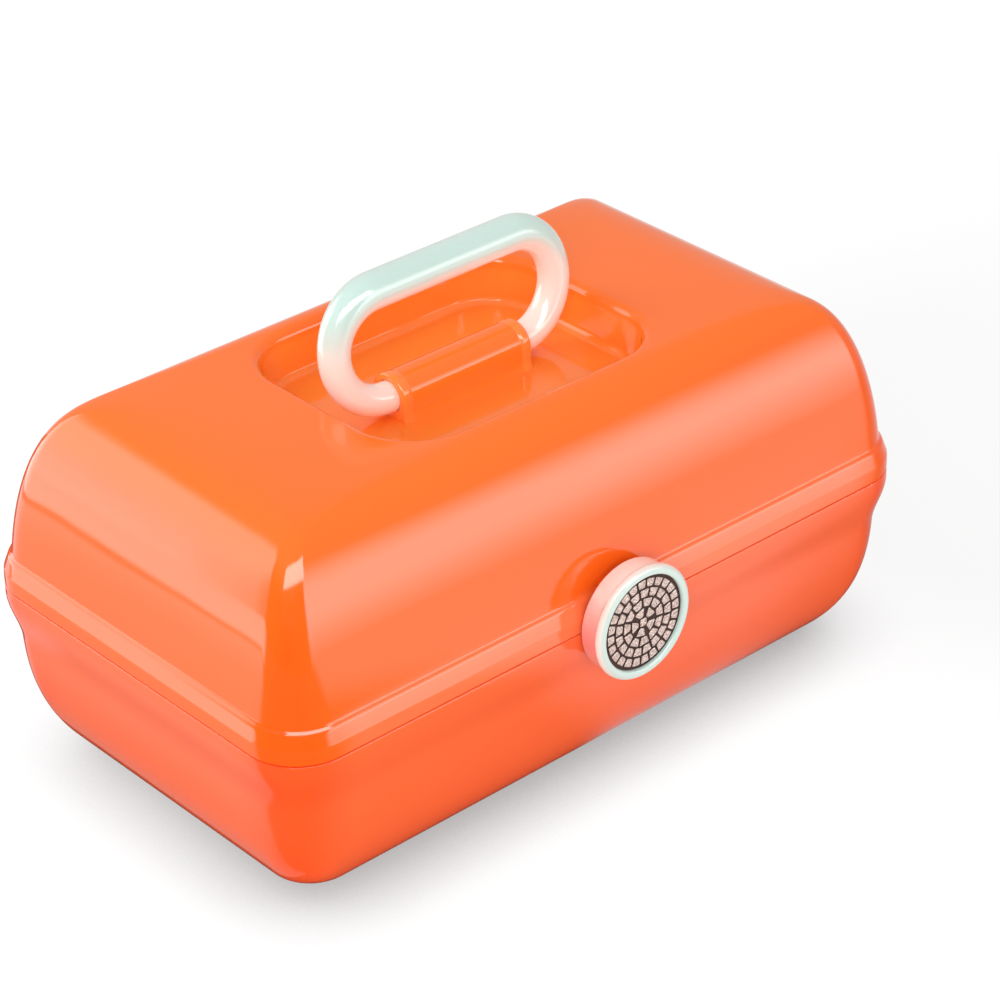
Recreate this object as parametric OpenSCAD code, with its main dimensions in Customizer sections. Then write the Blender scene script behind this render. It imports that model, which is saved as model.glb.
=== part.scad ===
// Makeup storage case: a moulded base and a domed lid joined by two pinned hinges at the
// back, a folding loop handle in a recess of the lid, a round flip latch set with stones at
// the front, and inside a mirror and a tray that two link arms carry up and back with the lid.
// The case stands on its sole at z = 0, X runs along its length and the front faces -Y.

/* [Case] */
// Outside length across the rim
case_length = 240; // [220:1:280]
// Outside depth across the rim, front to back
case_depth = 141; // [132:1:170]
// Height of the seam between base and lid
base_height = 58; // [52:1:72]
// Height of the closed case at the crest of the lid
case_height = 116.6; // [112:0.2:134]
// Thickness of the moulded walls
wall = 2.2; // [1.6:0.1:2.6]
// Plan radius of the corners at the rim
rim_corner = 17; // [13:0.5:22]

/* [Lid] */
// Height of the stepped band above the seam
lid_band_height = 9; // [7:0.5:11]
// Step from the lid band in to the lid wall
lid_step = 1.7; // [1:0.1:2.4]
// Lean of the lid band, in from its widest line to its top
band_lean = 0.8; // [0.4:0.1:1.2]
// Fine step half way up the lid band
band_bead = 0.2; // [0.1:0.1:0.4]
// Plan radius of the lid corners just below the top
lid_top_corner = 4; // [3:0.5:10]
// How soon the end walls start to lean, 1 for at once
end_curve = 1.3; // [1.1:0.1:2]
// How tightly the end walls turn over into the top
end_shoulder = 7.2; // [5:0.1:9]
// How soon the front and back walls start to lean, 1 for at once
front_curve = 1.5; // [1.2:0.1:2]
// How tightly the front and back walls turn over into the top
front_shoulder = 2; // [1.6:0.1:3]

/* [Handle recess] */
// Length of the recess in the lid
recess_length = 100; // [90:1:116]
// Depth of the recess from front to back
recess_depth = 76; // [68:1:84]
// Plan radius of the recess corners
recess_corner = 20; // [16:0.5:26]
// Drop from the crest of the lid to the recess floor
recess_drop = 14.1; // [12:0.1:15]
// Radius of the rounded recess edge
recess_lip = 3.2; // [2:0.1:4]
// Lean of the recess wall from its edge to its floor
recess_draft = 1.6; // [0.5:0.1:2.5]

/* [Base] */
// Height of the rim band below the seam
base_band_height = 9; // [6:0.5:10]
// Step from the base band in to the base wall
base_step = 2.7; // [1.6:0.1:3]
// Length of the flat sole
sole_length = 184; // [150:1:200]
// Depth of the flat sole from front to back
sole_depth = 85; // [66:1:100]
// Plan radius of the sole corners
sole_corner = 12; // [8:0.5:18]
// Height of the sole pad below the walls
sole_height = 1; // [0.6:0.1:2]
// How late the base walls turn under
base_curve = 3.1; // [2:0.1:4]
// How tightly the base walls turn under
base_turn = 2.2; // [1.8:0.1:3]
// Height of the locating tongue above the seam
tongue_height = 3.4; // [2:0.1:4.4]
// Thickness of the locating tongue
tongue_thickness = 1.6; // [1.2:0.1:2]

/* [Hinges] */
// Distance between the middles of the two hinges
hinge_spacing = 120; // [90:1:140]
// Length of one hinge over its knuckles
hinge_length = 40; // [30:1:50]
// Number of knuckles in one hinge, the outer ones on the base
knuckle_count = 5; // [3:2:7]
// Outer radius of a knuckle
knuckle_radius = 3.4; // [3:0.1:4]
// Radius of the hinge pins
hinge_pin_radius = 1.2; // [1:0.1:1.5]
// Height of the web that carries a knuckle
knuckle_web = 7.5; // [5:0.5:8]

/* [Handle] */
// Thickness of the round handle bar at its legs
handle_bar = 9.6; // [8:0.1:10]
// Thickness of the round handle bar at its grip
handle_grip_bar = 11.4; // [9.6:0.1:12]
// Rise of the grip's centre above the handle axis
handle_rise = 32.6; // [30:0.1:36]
// Lean of the raised handle to the back, in degrees
handle_lean = 8; // [0:0.5:10]
// Bend radius of the upper corners at the bar's centre
handle_bend = 16.1; // [14:0.1:20]
// Space between the handle's sides and the recess edge
handle_side_gap = 3.9; // [2.5:0.1:6]
// Space between the lowest bar and the recess floor
handle_floor_gap = 1.2; // [0.6:0.05:2]
// Length of each handle end inside the barrel
handle_end = 11; // [7:0.5:15]
// Thickness of the barrel wall around the handle ends
barrel_wall = 1.9; // [1.6:0.1:3]
// Width of the collar at each end of the barrel
collar_width = 3.5; // [2:0.1:5]
// Step of the collar over the barrel
collar_step = 0.3; // [0.2:0.1:1]

/* [Latch] */
// Outer radius of the bezel ring
bezel_radius = 17.7; // [17:0.1:19]
// Depth of the latch from its back edge to the bezel's face
latch_depth = 8.8; // [8.4:0.1:11]
// Space between the rim and the back edge of the latch
latch_standoff = 0.7; // [0.6:0.1:1.2]
// Height of the latch centre above the seam
latch_centre_rise = 1; // [-1:0.1:3]
// Thickness of the latch's side wall
latch_wall = 1.9; // [1.4:0.1:2.2]
// Step of the bezel ring over the latch's side
bezel_step = 0.8; // [0.4:0.1:1.2]
// Thickness of the bezel ring from back to face
bezel_thickness = 2.5; // [2.2:0.1:3]
// Width of the bezel ring's face
bezel_width = 2.9; // [2.2:0.1:3.4]
// Height of the latch pin above the latch centre
latch_pivot_rise = 8.5; // [8:0.1:9]
// Radius of the latch pin
latch_pin_radius = 1.1; // [0.9:0.1:1.3]
// Radius of the ears and the block around the latch pin
latch_ear_radius = 2.2; // [2:0.1:2.4]
// Width of the latch's hinge block
latch_block_width = 8.4; // [7:0.1:9]
// Thickness of one latch ear on the lid
latch_ear_width = 2.2; // [1.8:0.1:2.4]
// Width of the hook and the keeper
hook_width = 10; // [8:0.5:12]
// Thickness of the hook plate
hook_thickness = 3; // [2:0.1:3.4]
// Reach of the keeper out from the rim
keeper_reach = 3.9; // [3:0.1:4.2]
// Height of the keeper's underside below the seam
keeper_drop = 7.3; // [6.5:0.1:8]

/* [Stones] */
// Distance between the rows of stones
stone_pitch = 3.22; // [3:0.01:3.3]
// Number of ringed rows around the middle stone
stone_rows = 4; // [2:1:4]
// Gap between neighbouring stones
stone_gap = 0.5; // [0.3:0.05:0.8]
// Height of a stone above the disc
stone_height = 0.8; // [0.5:0.05:1]
// Thickness of the dark disc under the stones
disc_thickness = 1.3; // [1:0.1:1.5]

/* [Tray] */
// Depth of the tray from front to back
tray_depth = 76; // [66:1:80]
// Height of the tray from its floor to its rim
tray_height = 24; // [18:1:30]
// Height of the tray's rim above the seam
tray_rise = 2; // [0:0.5:4]
// Thickness of the tray's walls
tray_wall = 1.6; // [1.2:0.1:2]
// Plan radius of the tray's corners
tray_corner = 8; // [5:0.5:12]
// Lean of the tray walls from rim to floor
tray_draft = 2; // [1:0.1:3]
// Space between the tray and the front wall
tray_front_gap = 7.6; // [5:0.1:12]
// Depth of the long compartment at the front of the tray
tray_channel = 25; // [18:0.5:34]
// Number of compartments behind the long one
tray_cells = 4; // [2:1:6]
// Thickness of the tray's partitions
partition = 1.4; // [1:0.1:2]
// Drop of the partitions below the tray's rim
partition_drop = 4; // [2:0.5:8]

/* [Tray linkage] */
// Space between a link arm and the end wall
arm_wall_space = 4.3; // [3.6:0.1:6]
// Thickness of a link arm, a tray bracket and the other pivoted plates
plate = 2.2; // [1.6:0.1:2.6]
// Width of a link arm
arm_width = 8; // [7:0.5:10]
// Thickness of the lugs on the tray's ends
lug_thickness = 2.6; // [2.2:0.1:3.2]
// Distance of the lid pivot in from the back of the tray
lid_pivot_inset = 10; // [8:0.5:14]
// Height of the lid pivot above the tray's rim
lid_pivot_rise = 8; // [7:0.5:10]
// Distance of the arm pivot in from the front of the tray
arm_pivot_inset = 18; // [12:0.5:24]
// Radius of the rivets' shanks
rivet_radius = 1.5; // [1.2:0.1:1.8]
// Radius of the rivets' heads
rivet_head_radius = 2.8; // [2.4:0.1:3.2]
// Thickness of the rivets' heads
rivet_head = 0.9; // [0.6:0.1:1.2]
// Length of a tray bracket from front to back
bracket_length = 28; // [24:0.5:34]
// Height of a tray bracket above its pivot
bracket_rise = 16.5; // [14:0.5:19]
// Radius of the pegs that hold a tray bracket
peg_radius = 1.6; // [1.2:0.1:2]

/* [Mirror] */
// Space between the mirror frame and the recess underside
mirror_drop = 1.8; // [1.2:0.1:3]
// Space between the mirror frame and the end walls
mirror_end_gap = 11; // [8:0.5:16]
// Space between the mirror frame and the front and back walls
mirror_side_gap = 10; // [8:0.5:14]
// Plan radius of the mirror frame's corners
mirror_corner = 10; // [6:0.5:14]
// Thickness of the frame's backing plate
mirror_backing = 1.6; // [1.4:0.1:2]
// Thickness of the mirror glass
glass_thickness = 1.8; // [1.5:0.1:3]
// Width of the frame's border around the glass
mirror_border = 4; // [3:0.5:8]
// Distance of the mirror's screws in from the recess edge
screw_inset = 9; // [7:0.5:14]
// Radius of the screws' shanks
screw_radius = 1; // [0.8:0.1:1.2]

/* [Clearances] */
// Gap between lid and base at the seam
seam_gap = 0.3; // [0.2:0.05:0.5]
// Gap around the locating tongue
tongue_gap = 0.35; // [0.25:0.05:0.5]
// Gap beside knuckles, arms and other parts that turn past each other
side_gap = 0.4; // [0.3:0.05:0.6]
// Radial gap between a pin and its bore
pin_gap = 0.1; // [0.05:0.01:0.15]
// Gap between parts that are clipped or glued together
seat_gap = 0.1; // [0.05:0.05:0.2]

/* [Hidden] */

$fn = 48;
corner_steps = 11;

// Outlines at the rim
rim_x = case_length / 2;
rim_y = case_depth / 2;
lid_z = base_height + seam_gap;
lid_rise = case_height - lid_z;
lid_wall_x = rim_x - lid_step;
lid_wall_y = rim_y - lid_step;
base_wall_x = rim_x - base_step;
base_wall_y = rim_y - base_step;
base_rise = base_height - sole_height;

// Handle recess
recess_x = recess_length / 2;
recess_y = recess_depth / 2;
crest_x = recess_x + recess_lip;
crest_y = recess_y + recess_lip;
crest_corner = recess_corner + recess_lip;
recess_floor_z = case_height - recess_drop;
floor_fillet = 3;

// Hinges
hinge_y = rim_y + side_gap + knuckle_radius;
hinge_z = base_height + seam_gap / 2;
knuckle_step = (hinge_length + side_gap) / knuckle_count;
knuckle_width = knuckle_step - side_gap;
pin_head = 0.8;

// Handle and barrel
bar_radius = handle_bar / 2;
grip_radius = handle_grip_bar / 2;
handle_x = recess_x - handle_side_gap - bar_radius;
handle_z = recess_floor_z + handle_floor_gap + bar_radius;
low_bend = handle_rise - handle_bend;
barrel_end = handle_x - low_bend - side_gap;
barrel_bore = bar_radius + pin_gap;
barrel_radius = barrel_bore + barrel_wall;
handle_sides = 24;
handle_turn = 7.5;

// Latch
latch_z = base_height + latch_centre_rise;
latch_back_y = -rim_y - latch_standoff;
bezel_face_y = latch_back_y - latch_depth;
bezel_back_y = bezel_face_y + bezel_thickness;
latch_face_y = bezel_back_y + seat_gap;
latch_side_radius = bezel_radius - bezel_step;
latch_cavity = latch_side_radius - latch_wall;
latch_plate = 1.2;
latch_ceiling_y = latch_face_y + latch_plate;
latch_pivot_y = latch_ceiling_y + latch_ear_radius + 2 * pin_gap;
latch_pivot_z = latch_z + latch_pivot_rise;
ear_inner_x = latch_block_width / 2 + side_gap / 2;
ear_outer_x = ear_inner_x + latch_ear_width;
keeper_z = base_height - keeper_drop;
hook_top_z = keeper_z - seam_gap;
disc_radius = bezel_radius - bezel_width - seat_gap;
disc_front_y = bezel_back_y - disc_thickness;

// Tray and linkage, the plates counted outward from the tray
side_room = base_wall_x - wall;
arm_outer_x = side_room - arm_wall_space;
arm_inner_x = arm_outer_x - plate;
lug_outer_x = arm_inner_x - side_gap;
lug_inner_x = lug_outer_x - lug_thickness;
tray_x = lug_inner_x + tray_wall / 2;
tray_front_y = -(base_wall_y - wall - tray_front_gap);
tray_back_y = tray_front_y + tray_depth;
tray_mid_y = (tray_front_y + tray_back_y) / 2;
tray_top_z = base_height + tray_rise;
tray_floor_z = tray_top_z - tray_height;
lid_pivot = [tray_back_y - lid_pivot_inset, tray_top_z + lid_pivot_rise];
arm_pivot = [tray_front_y + arm_pivot_inset, tray_top_z];
base_pivot = arm_pivot - (lid_pivot - [hinge_y, hinge_z]);
pivot_bore = rivet_radius + pin_gap;
boss_radius = arm_width / 2;
bracket_front_y = lid_pivot[0] - bracket_length / 2 - 1;
bracket_back_y = bracket_front_y + bracket_length;
bracket_top_z = lid_pivot[1] + bracket_rise;
peg_z = bracket_top_z - 5.5;
peg_inset = 6;

// Mirror
mirror_top_z = recess_floor_z - wall - mirror_drop;
mirror_x = lid_inner_x(mirror_top_z) - mirror_end_gap;
mirror_y = lid_inner_y(mirror_top_z) - mirror_side_gap;
backing_z = mirror_top_z - mirror_backing;
mirror_low_z = backing_z - glass_thickness - 2 * seat_gap;
glass_x = mirror_x - mirror_border;
glass_y = mirror_y - mirror_border;
screw_x = recess_x - screw_inset;
screw_y = recess_y - screw_inset;
screw_depth = 3;
screw_head_radius = 2.4;
screw_head = 1.2;
head_slope = (screw_head_radius - screw_radius) / screw_head;

lid_colour = [1, 0.49, 0.25];
base_colour = [1, 0.4, 0.22];
pearl = [0.93, 0.96, 0.94];
steel = [0.75, 0.76, 0.78];
clear_orange = [1, 0.62, 0.36];

// ---- outlines and skins ----

// A quarter turn around [x, y], from the angle start
function quarter(x, y, r, start) = [
    for (i = [0:corner_steps])
        let (a = start + 90 * i / corner_steps)
        [x + r * cos(a), y + r * sin(a)]
];

// A rounded rectangle with half sizes x and y and corner radius r
function rounded(x, y, r) = concat(
    quarter(x - r, y - r, r, 0),
    quarter(r - x, y - r, r, 90),
    quarter(r - x, r - y, r, 180),
    quarter(x - r, r - y, r, 270)
);

function ring(x, y, r, z) = [for (p = rounded(x, y, r)) [p[0], p[1], z]];

// A closed solid through rings of equal length, from an end cap facing down
// to an end cap facing up
module skin(rings) {
    n = len(rings[0]);
    last = (len(rings) - 1) * n;
    sides = [
        for (k = [0:len(rings) - 2])
            for (i = [0:n - 1])
                let (a = k * n + i, b = k * n + (i + 1) % n)
                each [[a, a + n, b + n], [a, b + n, b]]
    ];
    polyhedron(
        points = [for (r = rings) each r],
        faces = concat([[for (i = [0:n - 1]) i]], sides, [[for (i = [n - 1:-1:0]) last + i]]),
        convexity = 8
    );
}

// ---- small exact helpers ----

// A round bar along X from x0 to x1, centred on [y, z]
module bar_x(x0, x1, centre, r) {
    translate([x0, centre[0], centre[1]])
        rotate([0, 90, 0])
            cylinder(r = r, h = x1 - x0);
}

// A profile drawn in Y and Z, extruded along X from x0 to x1
module slab_x(x0, x1) {
    translate([x0, 0, 0])
        rotate([90, 0, 90])
            linear_extrude(x1 - x0)
                children();
}

// The children as drawn for side 1, or mirrored to the other end for side -1
module at_side(side) {
    if (side > 0)
        children();
    else
        mirror([1, 0, 0])
            children();
}

module both_ends() {
    for (side = [-1, 1])
        at_side(side)
            children();
}

// ---- lid ----

// Share of the wall's half size left at height share t
function end_share(t) = pow(1 - pow(t, end_curve), 1 / end_shoulder);
function front_share(t) = pow(1 - pow(t, front_curve), 1 / front_shoulder);

// Plan radius of the lid's corners, which opens out into the recess corner at the crest
function lid_corner(t) = rim_corner + (lid_top_corner - rim_corner) * t
    + (crest_corner - lid_top_corner) * pow(t, 60);

// One ring of the lid's wall and dome, set in from the outside by inset
function lid_ring(t, inset) = ring(
    crest_x + (lid_wall_x - inset - crest_x) * end_share(t),
    crest_y + (lid_wall_y - inset - crest_y) * front_share(t),
    max(lid_corner(t) - inset * (1 - pow(t, 60)), 2),
    lid_z + (lid_rise - inset) * t
);

// Inside half sizes of the lid at the height z
function lid_inner_share(z) = (z - lid_z) / (lid_rise - wall);
function lid_inner_x(z) = crest_x + (lid_wall_x - wall - crest_x) * end_share(lid_inner_share(z));
function lid_inner_y(z) = crest_y + (lid_wall_y - wall - crest_y) * front_share(lid_inner_share(z));

// Height shares from the band to the crest, closer together near the crest
function dome_shares(first, count) = [
    for (i = [0:count]) first + (1 - first) * (1 - pow(1 - i / count, 2.6))
];

// A ring around the recess, grown from the floor outline by out
function recess_ring(out, z) = ring(
    recess_x - recess_draft + out,
    recess_y - recess_draft + out,
    recess_corner - recess_draft + out,
    z
);

function rim_ring(inset, z) = ring(rim_x - inset, rim_y - inset, rim_corner - inset, z);

function lid_rings() = let (
    band_share = lid_band_height / lid_rise,
    underside_z = recess_floor_z - wall,
    widest_z = lid_z + lid_band_height * 0.28,
    bead_z = lid_z + lid_band_height * 0.55,
    band_z = lid_z + lid_band_height,
    bead_inset = band_lean * (bead_z - widest_z) / (band_z - widest_z),
    top_inset = band_lean + band_bead,
    inner = dome_shares(band_share * 0.8, 10),
    outer = dome_shares(band_share * 1.08, 15)
) concat(
    // the underside of the recess, out to the crest
    [
        recess_ring(wall - floor_fillet, underside_z),
        recess_ring(wall, underside_z + floor_fillet),
        recess_ring(wall + recess_draft, case_height - wall - recess_lip),
        recess_ring(wall + recess_draft + recess_lip * 0.6, case_height - wall - recess_lip * 0.25)
    ],
    // the inside of the dome and walls, downward
    [for (i = [len(inner) - 2:-1:0]) lid_ring(inner[i], wall)],
    // the rim from inside to outside
    [
        rim_ring(wall, lid_z + tongue_height + 2),
        rim_ring(wall, lid_z),
        rim_ring(0.5, lid_z),
        rim_ring(0, lid_z + 0.6),
        rim_ring(0, widest_z),
        rim_ring(bead_inset, bead_z),
        rim_ring(bead_inset + band_bead, bead_z + 0.3),
        rim_ring(top_inset, band_z - 0.8),
        rim_ring(top_inset + 0.2, band_z - 0.25),
        rim_ring(lid_step - 0.15, band_z)
    ],
    // the outside, upward over the dome to the crest
    [for (t = outer) lid_ring(t, 0)],
    // over the recess edge and down to the floor
    [
        for (a = [25, 50, 75])
            recess_ring(
                recess_draft + recess_lip * (1 - sin(a)),
                case_height - recess_lip * (1 - cos(a))
            )
    ],
    [recess_ring(recess_draft * 0.95, case_height - recess_lip * 1.3)],
    [
        for (a = [0, 30, 60, 90])
            recess_ring(
                -floor_fillet * (1 - cos(a)),
                recess_floor_z + floor_fillet * (1 - sin(a))
            )
    ]
);

// One set of hinge knuckles; first is 0 for the base's knuckles and 1 for the lid's
module knuckles(first, web) {
    for (k = [first:2:knuckle_count - 1])
        translate([-hinge_length / 2 + k * knuckle_step, 0, 0]) {
            bar_x(0, knuckle_width, [hinge_y, hinge_z], knuckle_radius);
            slab_x(0, knuckle_width)
                polygon(web);
        }
}

module hinge_bores() {
    both_ends()
        bar_x(
            (hinge_spacing - hinge_length) / 2 - 1,
            (hinge_spacing + hinge_length) / 2 + 1,
            [hinge_y, hinge_z],
            hinge_pin_radius + pin_gap
        );
}

// The tunnel on the recess floor that takes the handle's ends
module barrel() {
    bar_x(-barrel_end, barrel_end, [0, handle_z], barrel_radius);
    translate([-barrel_end, -barrel_radius, recess_floor_z - wall / 2])
        cube([2 * barrel_end, 2 * barrel_radius, handle_z - recess_floor_z + wall / 2]);
    collar_radius = barrel_radius + collar_step;
    both_ends() {
        bar_x(barrel_end - collar_width, barrel_end, [0, handle_z], collar_radius);
        translate([barrel_end - collar_width, -collar_radius, recess_floor_z - wall / 2])
            cube([collar_width, 2 * collar_radius, handle_z - recess_floor_z + wall / 2]);
    }
}

// Ears on the lid that hold the latch pin
module latch_ears() {
    root_y = -(lid_wall_y - wall * 0.7);
    both_ends() {
        bar_x(ear_inner_x, ear_outer_x, [latch_pivot_y, latch_pivot_z], latch_ear_radius);
        slab_x(ear_inner_x, ear_outer_x)
            polygon([
                [latch_pivot_y, latch_pivot_z - latch_ear_radius],
                [root_y, latch_pivot_z - latch_ear_radius],
                [root_y, latch_pivot_z + latch_ear_radius],
                [latch_pivot_y, latch_pivot_z + latch_ear_radius]
            ]);
    }
}

// Pegs on the end walls that carry the tray brackets
module bracket_pegs() {
    both_ends()
        for (y = [bracket_front_y + peg_inset, bracket_back_y - peg_inset])
            bar_x(arm_inner_x, lid_inner_x(peg_z) + wall / 2, [y, peg_z], peg_radius);
}

module screw_places() {
    for (x = [-screw_x, screw_x])
        for (y = [-screw_y, screw_y])
            translate([x, y, mirror_top_z])
                children();
}

module lid_shell() {
    lid_web = [
        [rim_y - wall * 0.6, lid_z],
        [hinge_y, lid_z],
        [hinge_y + knuckle_radius * 0.7, hinge_z + knuckle_radius * 0.7],
        [rim_y, lid_z + knuckle_web],
        [rim_y - wall * 0.6, lid_z + knuckle_web]
    ];
    color(lid_colour)
        difference() {
            union() {
                skin(lid_rings());
                barrel();
                latch_ears();
                bracket_pegs();
                both_ends()
                    translate([hinge_spacing / 2, 0, 0])
                        knuckles(1, lid_web);
                screw_places()
                    cylinder(r = screw_head_radius + 1.2, h = mirror_drop + wall / 2);
            }
            hinge_bores();
            both_ends() {
                bar_x(barrel_end - handle_end - side_gap, barrel_end + 1, [0, handle_z], barrel_bore);
                bar_x(
                    ear_inner_x - 1,
                    ear_outer_x + 1,
                    [latch_pivot_y, latch_pivot_z],
                    latch_pin_radius + pin_gap
                );
            }
            screw_places()
                translate([0, 0, -1])
                    cylinder(r = screw_radius + pin_gap, h = screw_depth);
        }
}

// Profile of a tray bracket, seen from the end of the case
module bracket_profile() {
    difference() {
        union() {
            translate(lid_pivot)
                circle(r = boss_radius);
            polygon([
                [bracket_front_y, bracket_top_z],
                [bracket_front_y, bracket_top_z - bracket_rise / 2],
                [lid_pivot[0] - boss_radius, lid_pivot[1]],
                [lid_pivot[0] + boss_radius, lid_pivot[1]],
                [bracket_back_y, bracket_top_z - bracket_rise / 2],
                [bracket_back_y, bracket_top_z]
            ]);
        }
        translate(lid_pivot)
            circle(r = pivot_bore);
        for (y = [bracket_front_y + peg_inset, bracket_back_y - peg_inset])
            translate([y, peg_z])
                circle(r = peg_radius + seat_gap);
    }
}

// A tray bracket: a pivoted plate with two ribs and a lip that meet the end wall
module lid_bracket(side) {
    rib = plate * 0.8;
    low_z = bracket_top_z - bracket_rise / 2;
    heights = [for (i = [0:4]) low_z + (bracket_top_z - low_z) * i / 4];
    edge = [for (z = heights) [lid_inner_x(z) - seam_gap, z]];
    rib_profile = concat([[arm_outer_x - 0.1, bracket_top_z], [arm_outer_x - 0.1, low_z]], edge);
    lip_profile = [
        [arm_outer_x - 0.1, bracket_top_z],
        [arm_outer_x - 0.1, bracket_top_z - rib],
        [lid_inner_x(bracket_top_z - rib) - seam_gap, bracket_top_z - rib],
        [lid_inner_x(bracket_top_z) - seam_gap, bracket_top_z]
    ];
    color(clear_orange)
        at_side(side) {
            slab_x(arm_inner_x, arm_outer_x)
                bracket_profile();
            for (y = [bracket_front_y, bracket_back_y - rib])
                translate([0, y + rib, 0])
                    rotate([90, 0, 0])
                        linear_extrude(rib)
                            polygon(rib_profile);
            translate([0, bracket_back_y, 0])
                rotate([90, 0, 0])
                    linear_extrude(bracket_length)
                        polygon(lip_profile);
        }
}

module lid_bracket_left() { lid_bracket(-1); }

module lid_bracket_right() { lid_bracket(1); }

// ---- base ----

function base_share(s) = pow(1 - pow(s, base_curve), 1 / base_turn);

// One ring of the base wall at depth share s below the seam, set in by inset
function base_ring(s, inset) = ring(
    sole_length / 2 + (base_wall_x - inset - sole_length / 2) * base_share(s),
    sole_depth / 2 + (base_wall_y - inset - sole_depth / 2) * base_share(s),
    rim_corner + (sole_corner - rim_corner) * s - inset * (1 - s),
    base_height - (base_rise - inset) * s
);

// Depth shares from the sole up to the rim band, closer together near the sole
function wall_shares(last, count) = [for (i = [0:count]) 1 - (1 - last) * pow(i / count, 2.2)];

function base_rings() = let (
    band_share = base_band_height / base_rise,
    band_z = base_height - base_band_height,
    outer = wall_shares(band_share * 1.08, 13),
    inner = wall_shares(band_share * 0.9, 9),
    tongue_out = wall + tongue_gap,
    tongue_in = tongue_out + tongue_thickness
) concat(
    [for (s = outer) base_ring(s, 0)],
    // the rim band, which rounds out from the wall
    [
        rim_ring(base_step * 0.62, band_z + 0.9),
        rim_ring(base_step * 0.36, band_z + 1.6),
        rim_ring(base_step * 0.15, band_z + 2.6),
        rim_ring(0.05, band_z + 4.2),
        rim_ring(0, base_height - 0.6),
        rim_ring(0.5, base_height)
    ],
    // the locating tongue
    [
        rim_ring(tongue_out, base_height),
        rim_ring(tongue_out, base_height + tongue_height - 0.6),
        rim_ring(tongue_out + 0.4, base_height + tongue_height),
        rim_ring(tongue_in - 0.3, base_height + tongue_height),
        rim_ring(tongue_in, base_height - 1)
    ],
    [for (i = [len(inner) - 1:-1:0]) base_ring(inner[i], wall)]
);

// The block on the rim that the latch's hook catches under
module keeper() {
    root_y = -(base_wall_y - wall * 0.4);
    tip_y = -(rim_y + keeper_reach);
    slab_x(-hook_width / 2 - 1, hook_width / 2 + 1)
        polygon([
            [root_y, keeper_z],
            [tip_y, keeper_z],
            [tip_y, keeper_z + 1.4],
            [-rim_y - 0.4, keeper_z + 4.6],
            [root_y, keeper_z + 4.6]
        ]);
}

module base_shell() {
    base_web = [
        [rim_y - wall * 0.6, base_height],
        [rim_y - wall * 0.6, base_height - knuckle_web],
        [rim_y, base_height - knuckle_web],
        [hinge_y + knuckle_radius * 0.7, hinge_z - knuckle_radius * 0.7],
        [hinge_y, base_height]
    ];
    color(base_colour)
        difference() {
            union() {
                skin(base_rings());
                linear_extrude(sole_height + wall / 2)
                    polygon(rounded(sole_length / 2, sole_depth / 2, sole_corner));
                keeper();
                both_ends() {
                    translate([hinge_spacing / 2, 0, 0])
                        knuckles(0, base_web);
                    bar_x(arm_outer_x + side_gap, side_room + wall / 2, base_pivot, boss_radius);
                }
            }
            hinge_bores();
            both_ends()
                bar_x(arm_outer_x, side_room - seat_gap, base_pivot, rivet_radius + pin_gap);
        }
}

// A hinge pin with a peened head at each end
module hinge_pin(side) {
    start = (hinge_spacing - hinge_length) / 2;
    color(steel)
        at_side(side) {
            bar_x(start - 0.1, start + hinge_length + 0.1, [hinge_y, hinge_z], hinge_pin_radius);
            for (x = [start - 0.1 - pin_head, start + hinge_length + 0.1])
                bar_x(x, x + pin_head, [hinge_y, hinge_z], hinge_pin_radius * 1.6);
        }
}

module hinge_pin_left() { hinge_pin(-1); }

module hinge_pin_right() { hinge_pin(1); }

// ---- handle ----

// Stops along the right half of the bar, each [place along X, rise, heading, radius]
function handle_stops() = [
    [barrel_end - handle_end, 0, 0, bar_radius],
    for (a = [0:handle_turn:90])
        [handle_x - low_bend * (1 - sin(a)), low_bend * (1 - cos(a)), a, bar_radius],
    for (a = [handle_turn:handle_turn:90])
        [
            handle_x - handle_bend * (1 - cos(a)),
            low_bend + handle_bend * sin(a),
            90 + a,
            bar_radius + (grip_radius - bar_radius) * (1 - cos(2 * a)) / 2
        ]
];

// The same stops on the left half, from the grip down to the other end
function left_stops(right) = [
    for (k = [len(right) - 1:-1:0])
        [-right[k][0], right[k][1], 360 - right[k][2], right[k][3]]
];

// The ring of points around the bar at one stop
function handle_ring(stop) = [
    for (i = [0:handle_sides - 1])
        let (b = 360 * i / handle_sides, out = stop[3] * cos(b))
        [stop[0] + out * sin(stop[2]), stop[3] * sin(b), stop[1] - out * cos(stop[2])]
];

module handle() {
    right = handle_stops();
    color(pearl)
        translate([0, 0, handle_z])
            rotate([-handle_lean, 0, 0])
                skin([for (stop = concat(right, left_stops(right))) handle_ring(stop)]);
}

// ---- latch ----

// A turned profile about the latch's axis, drawn as [radius, y]
module turned_at_latch() {
    translate([0, 0, latch_z])
        rotate([-90, 0, 0])
            rotate_extrude()
                children();
}

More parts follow.
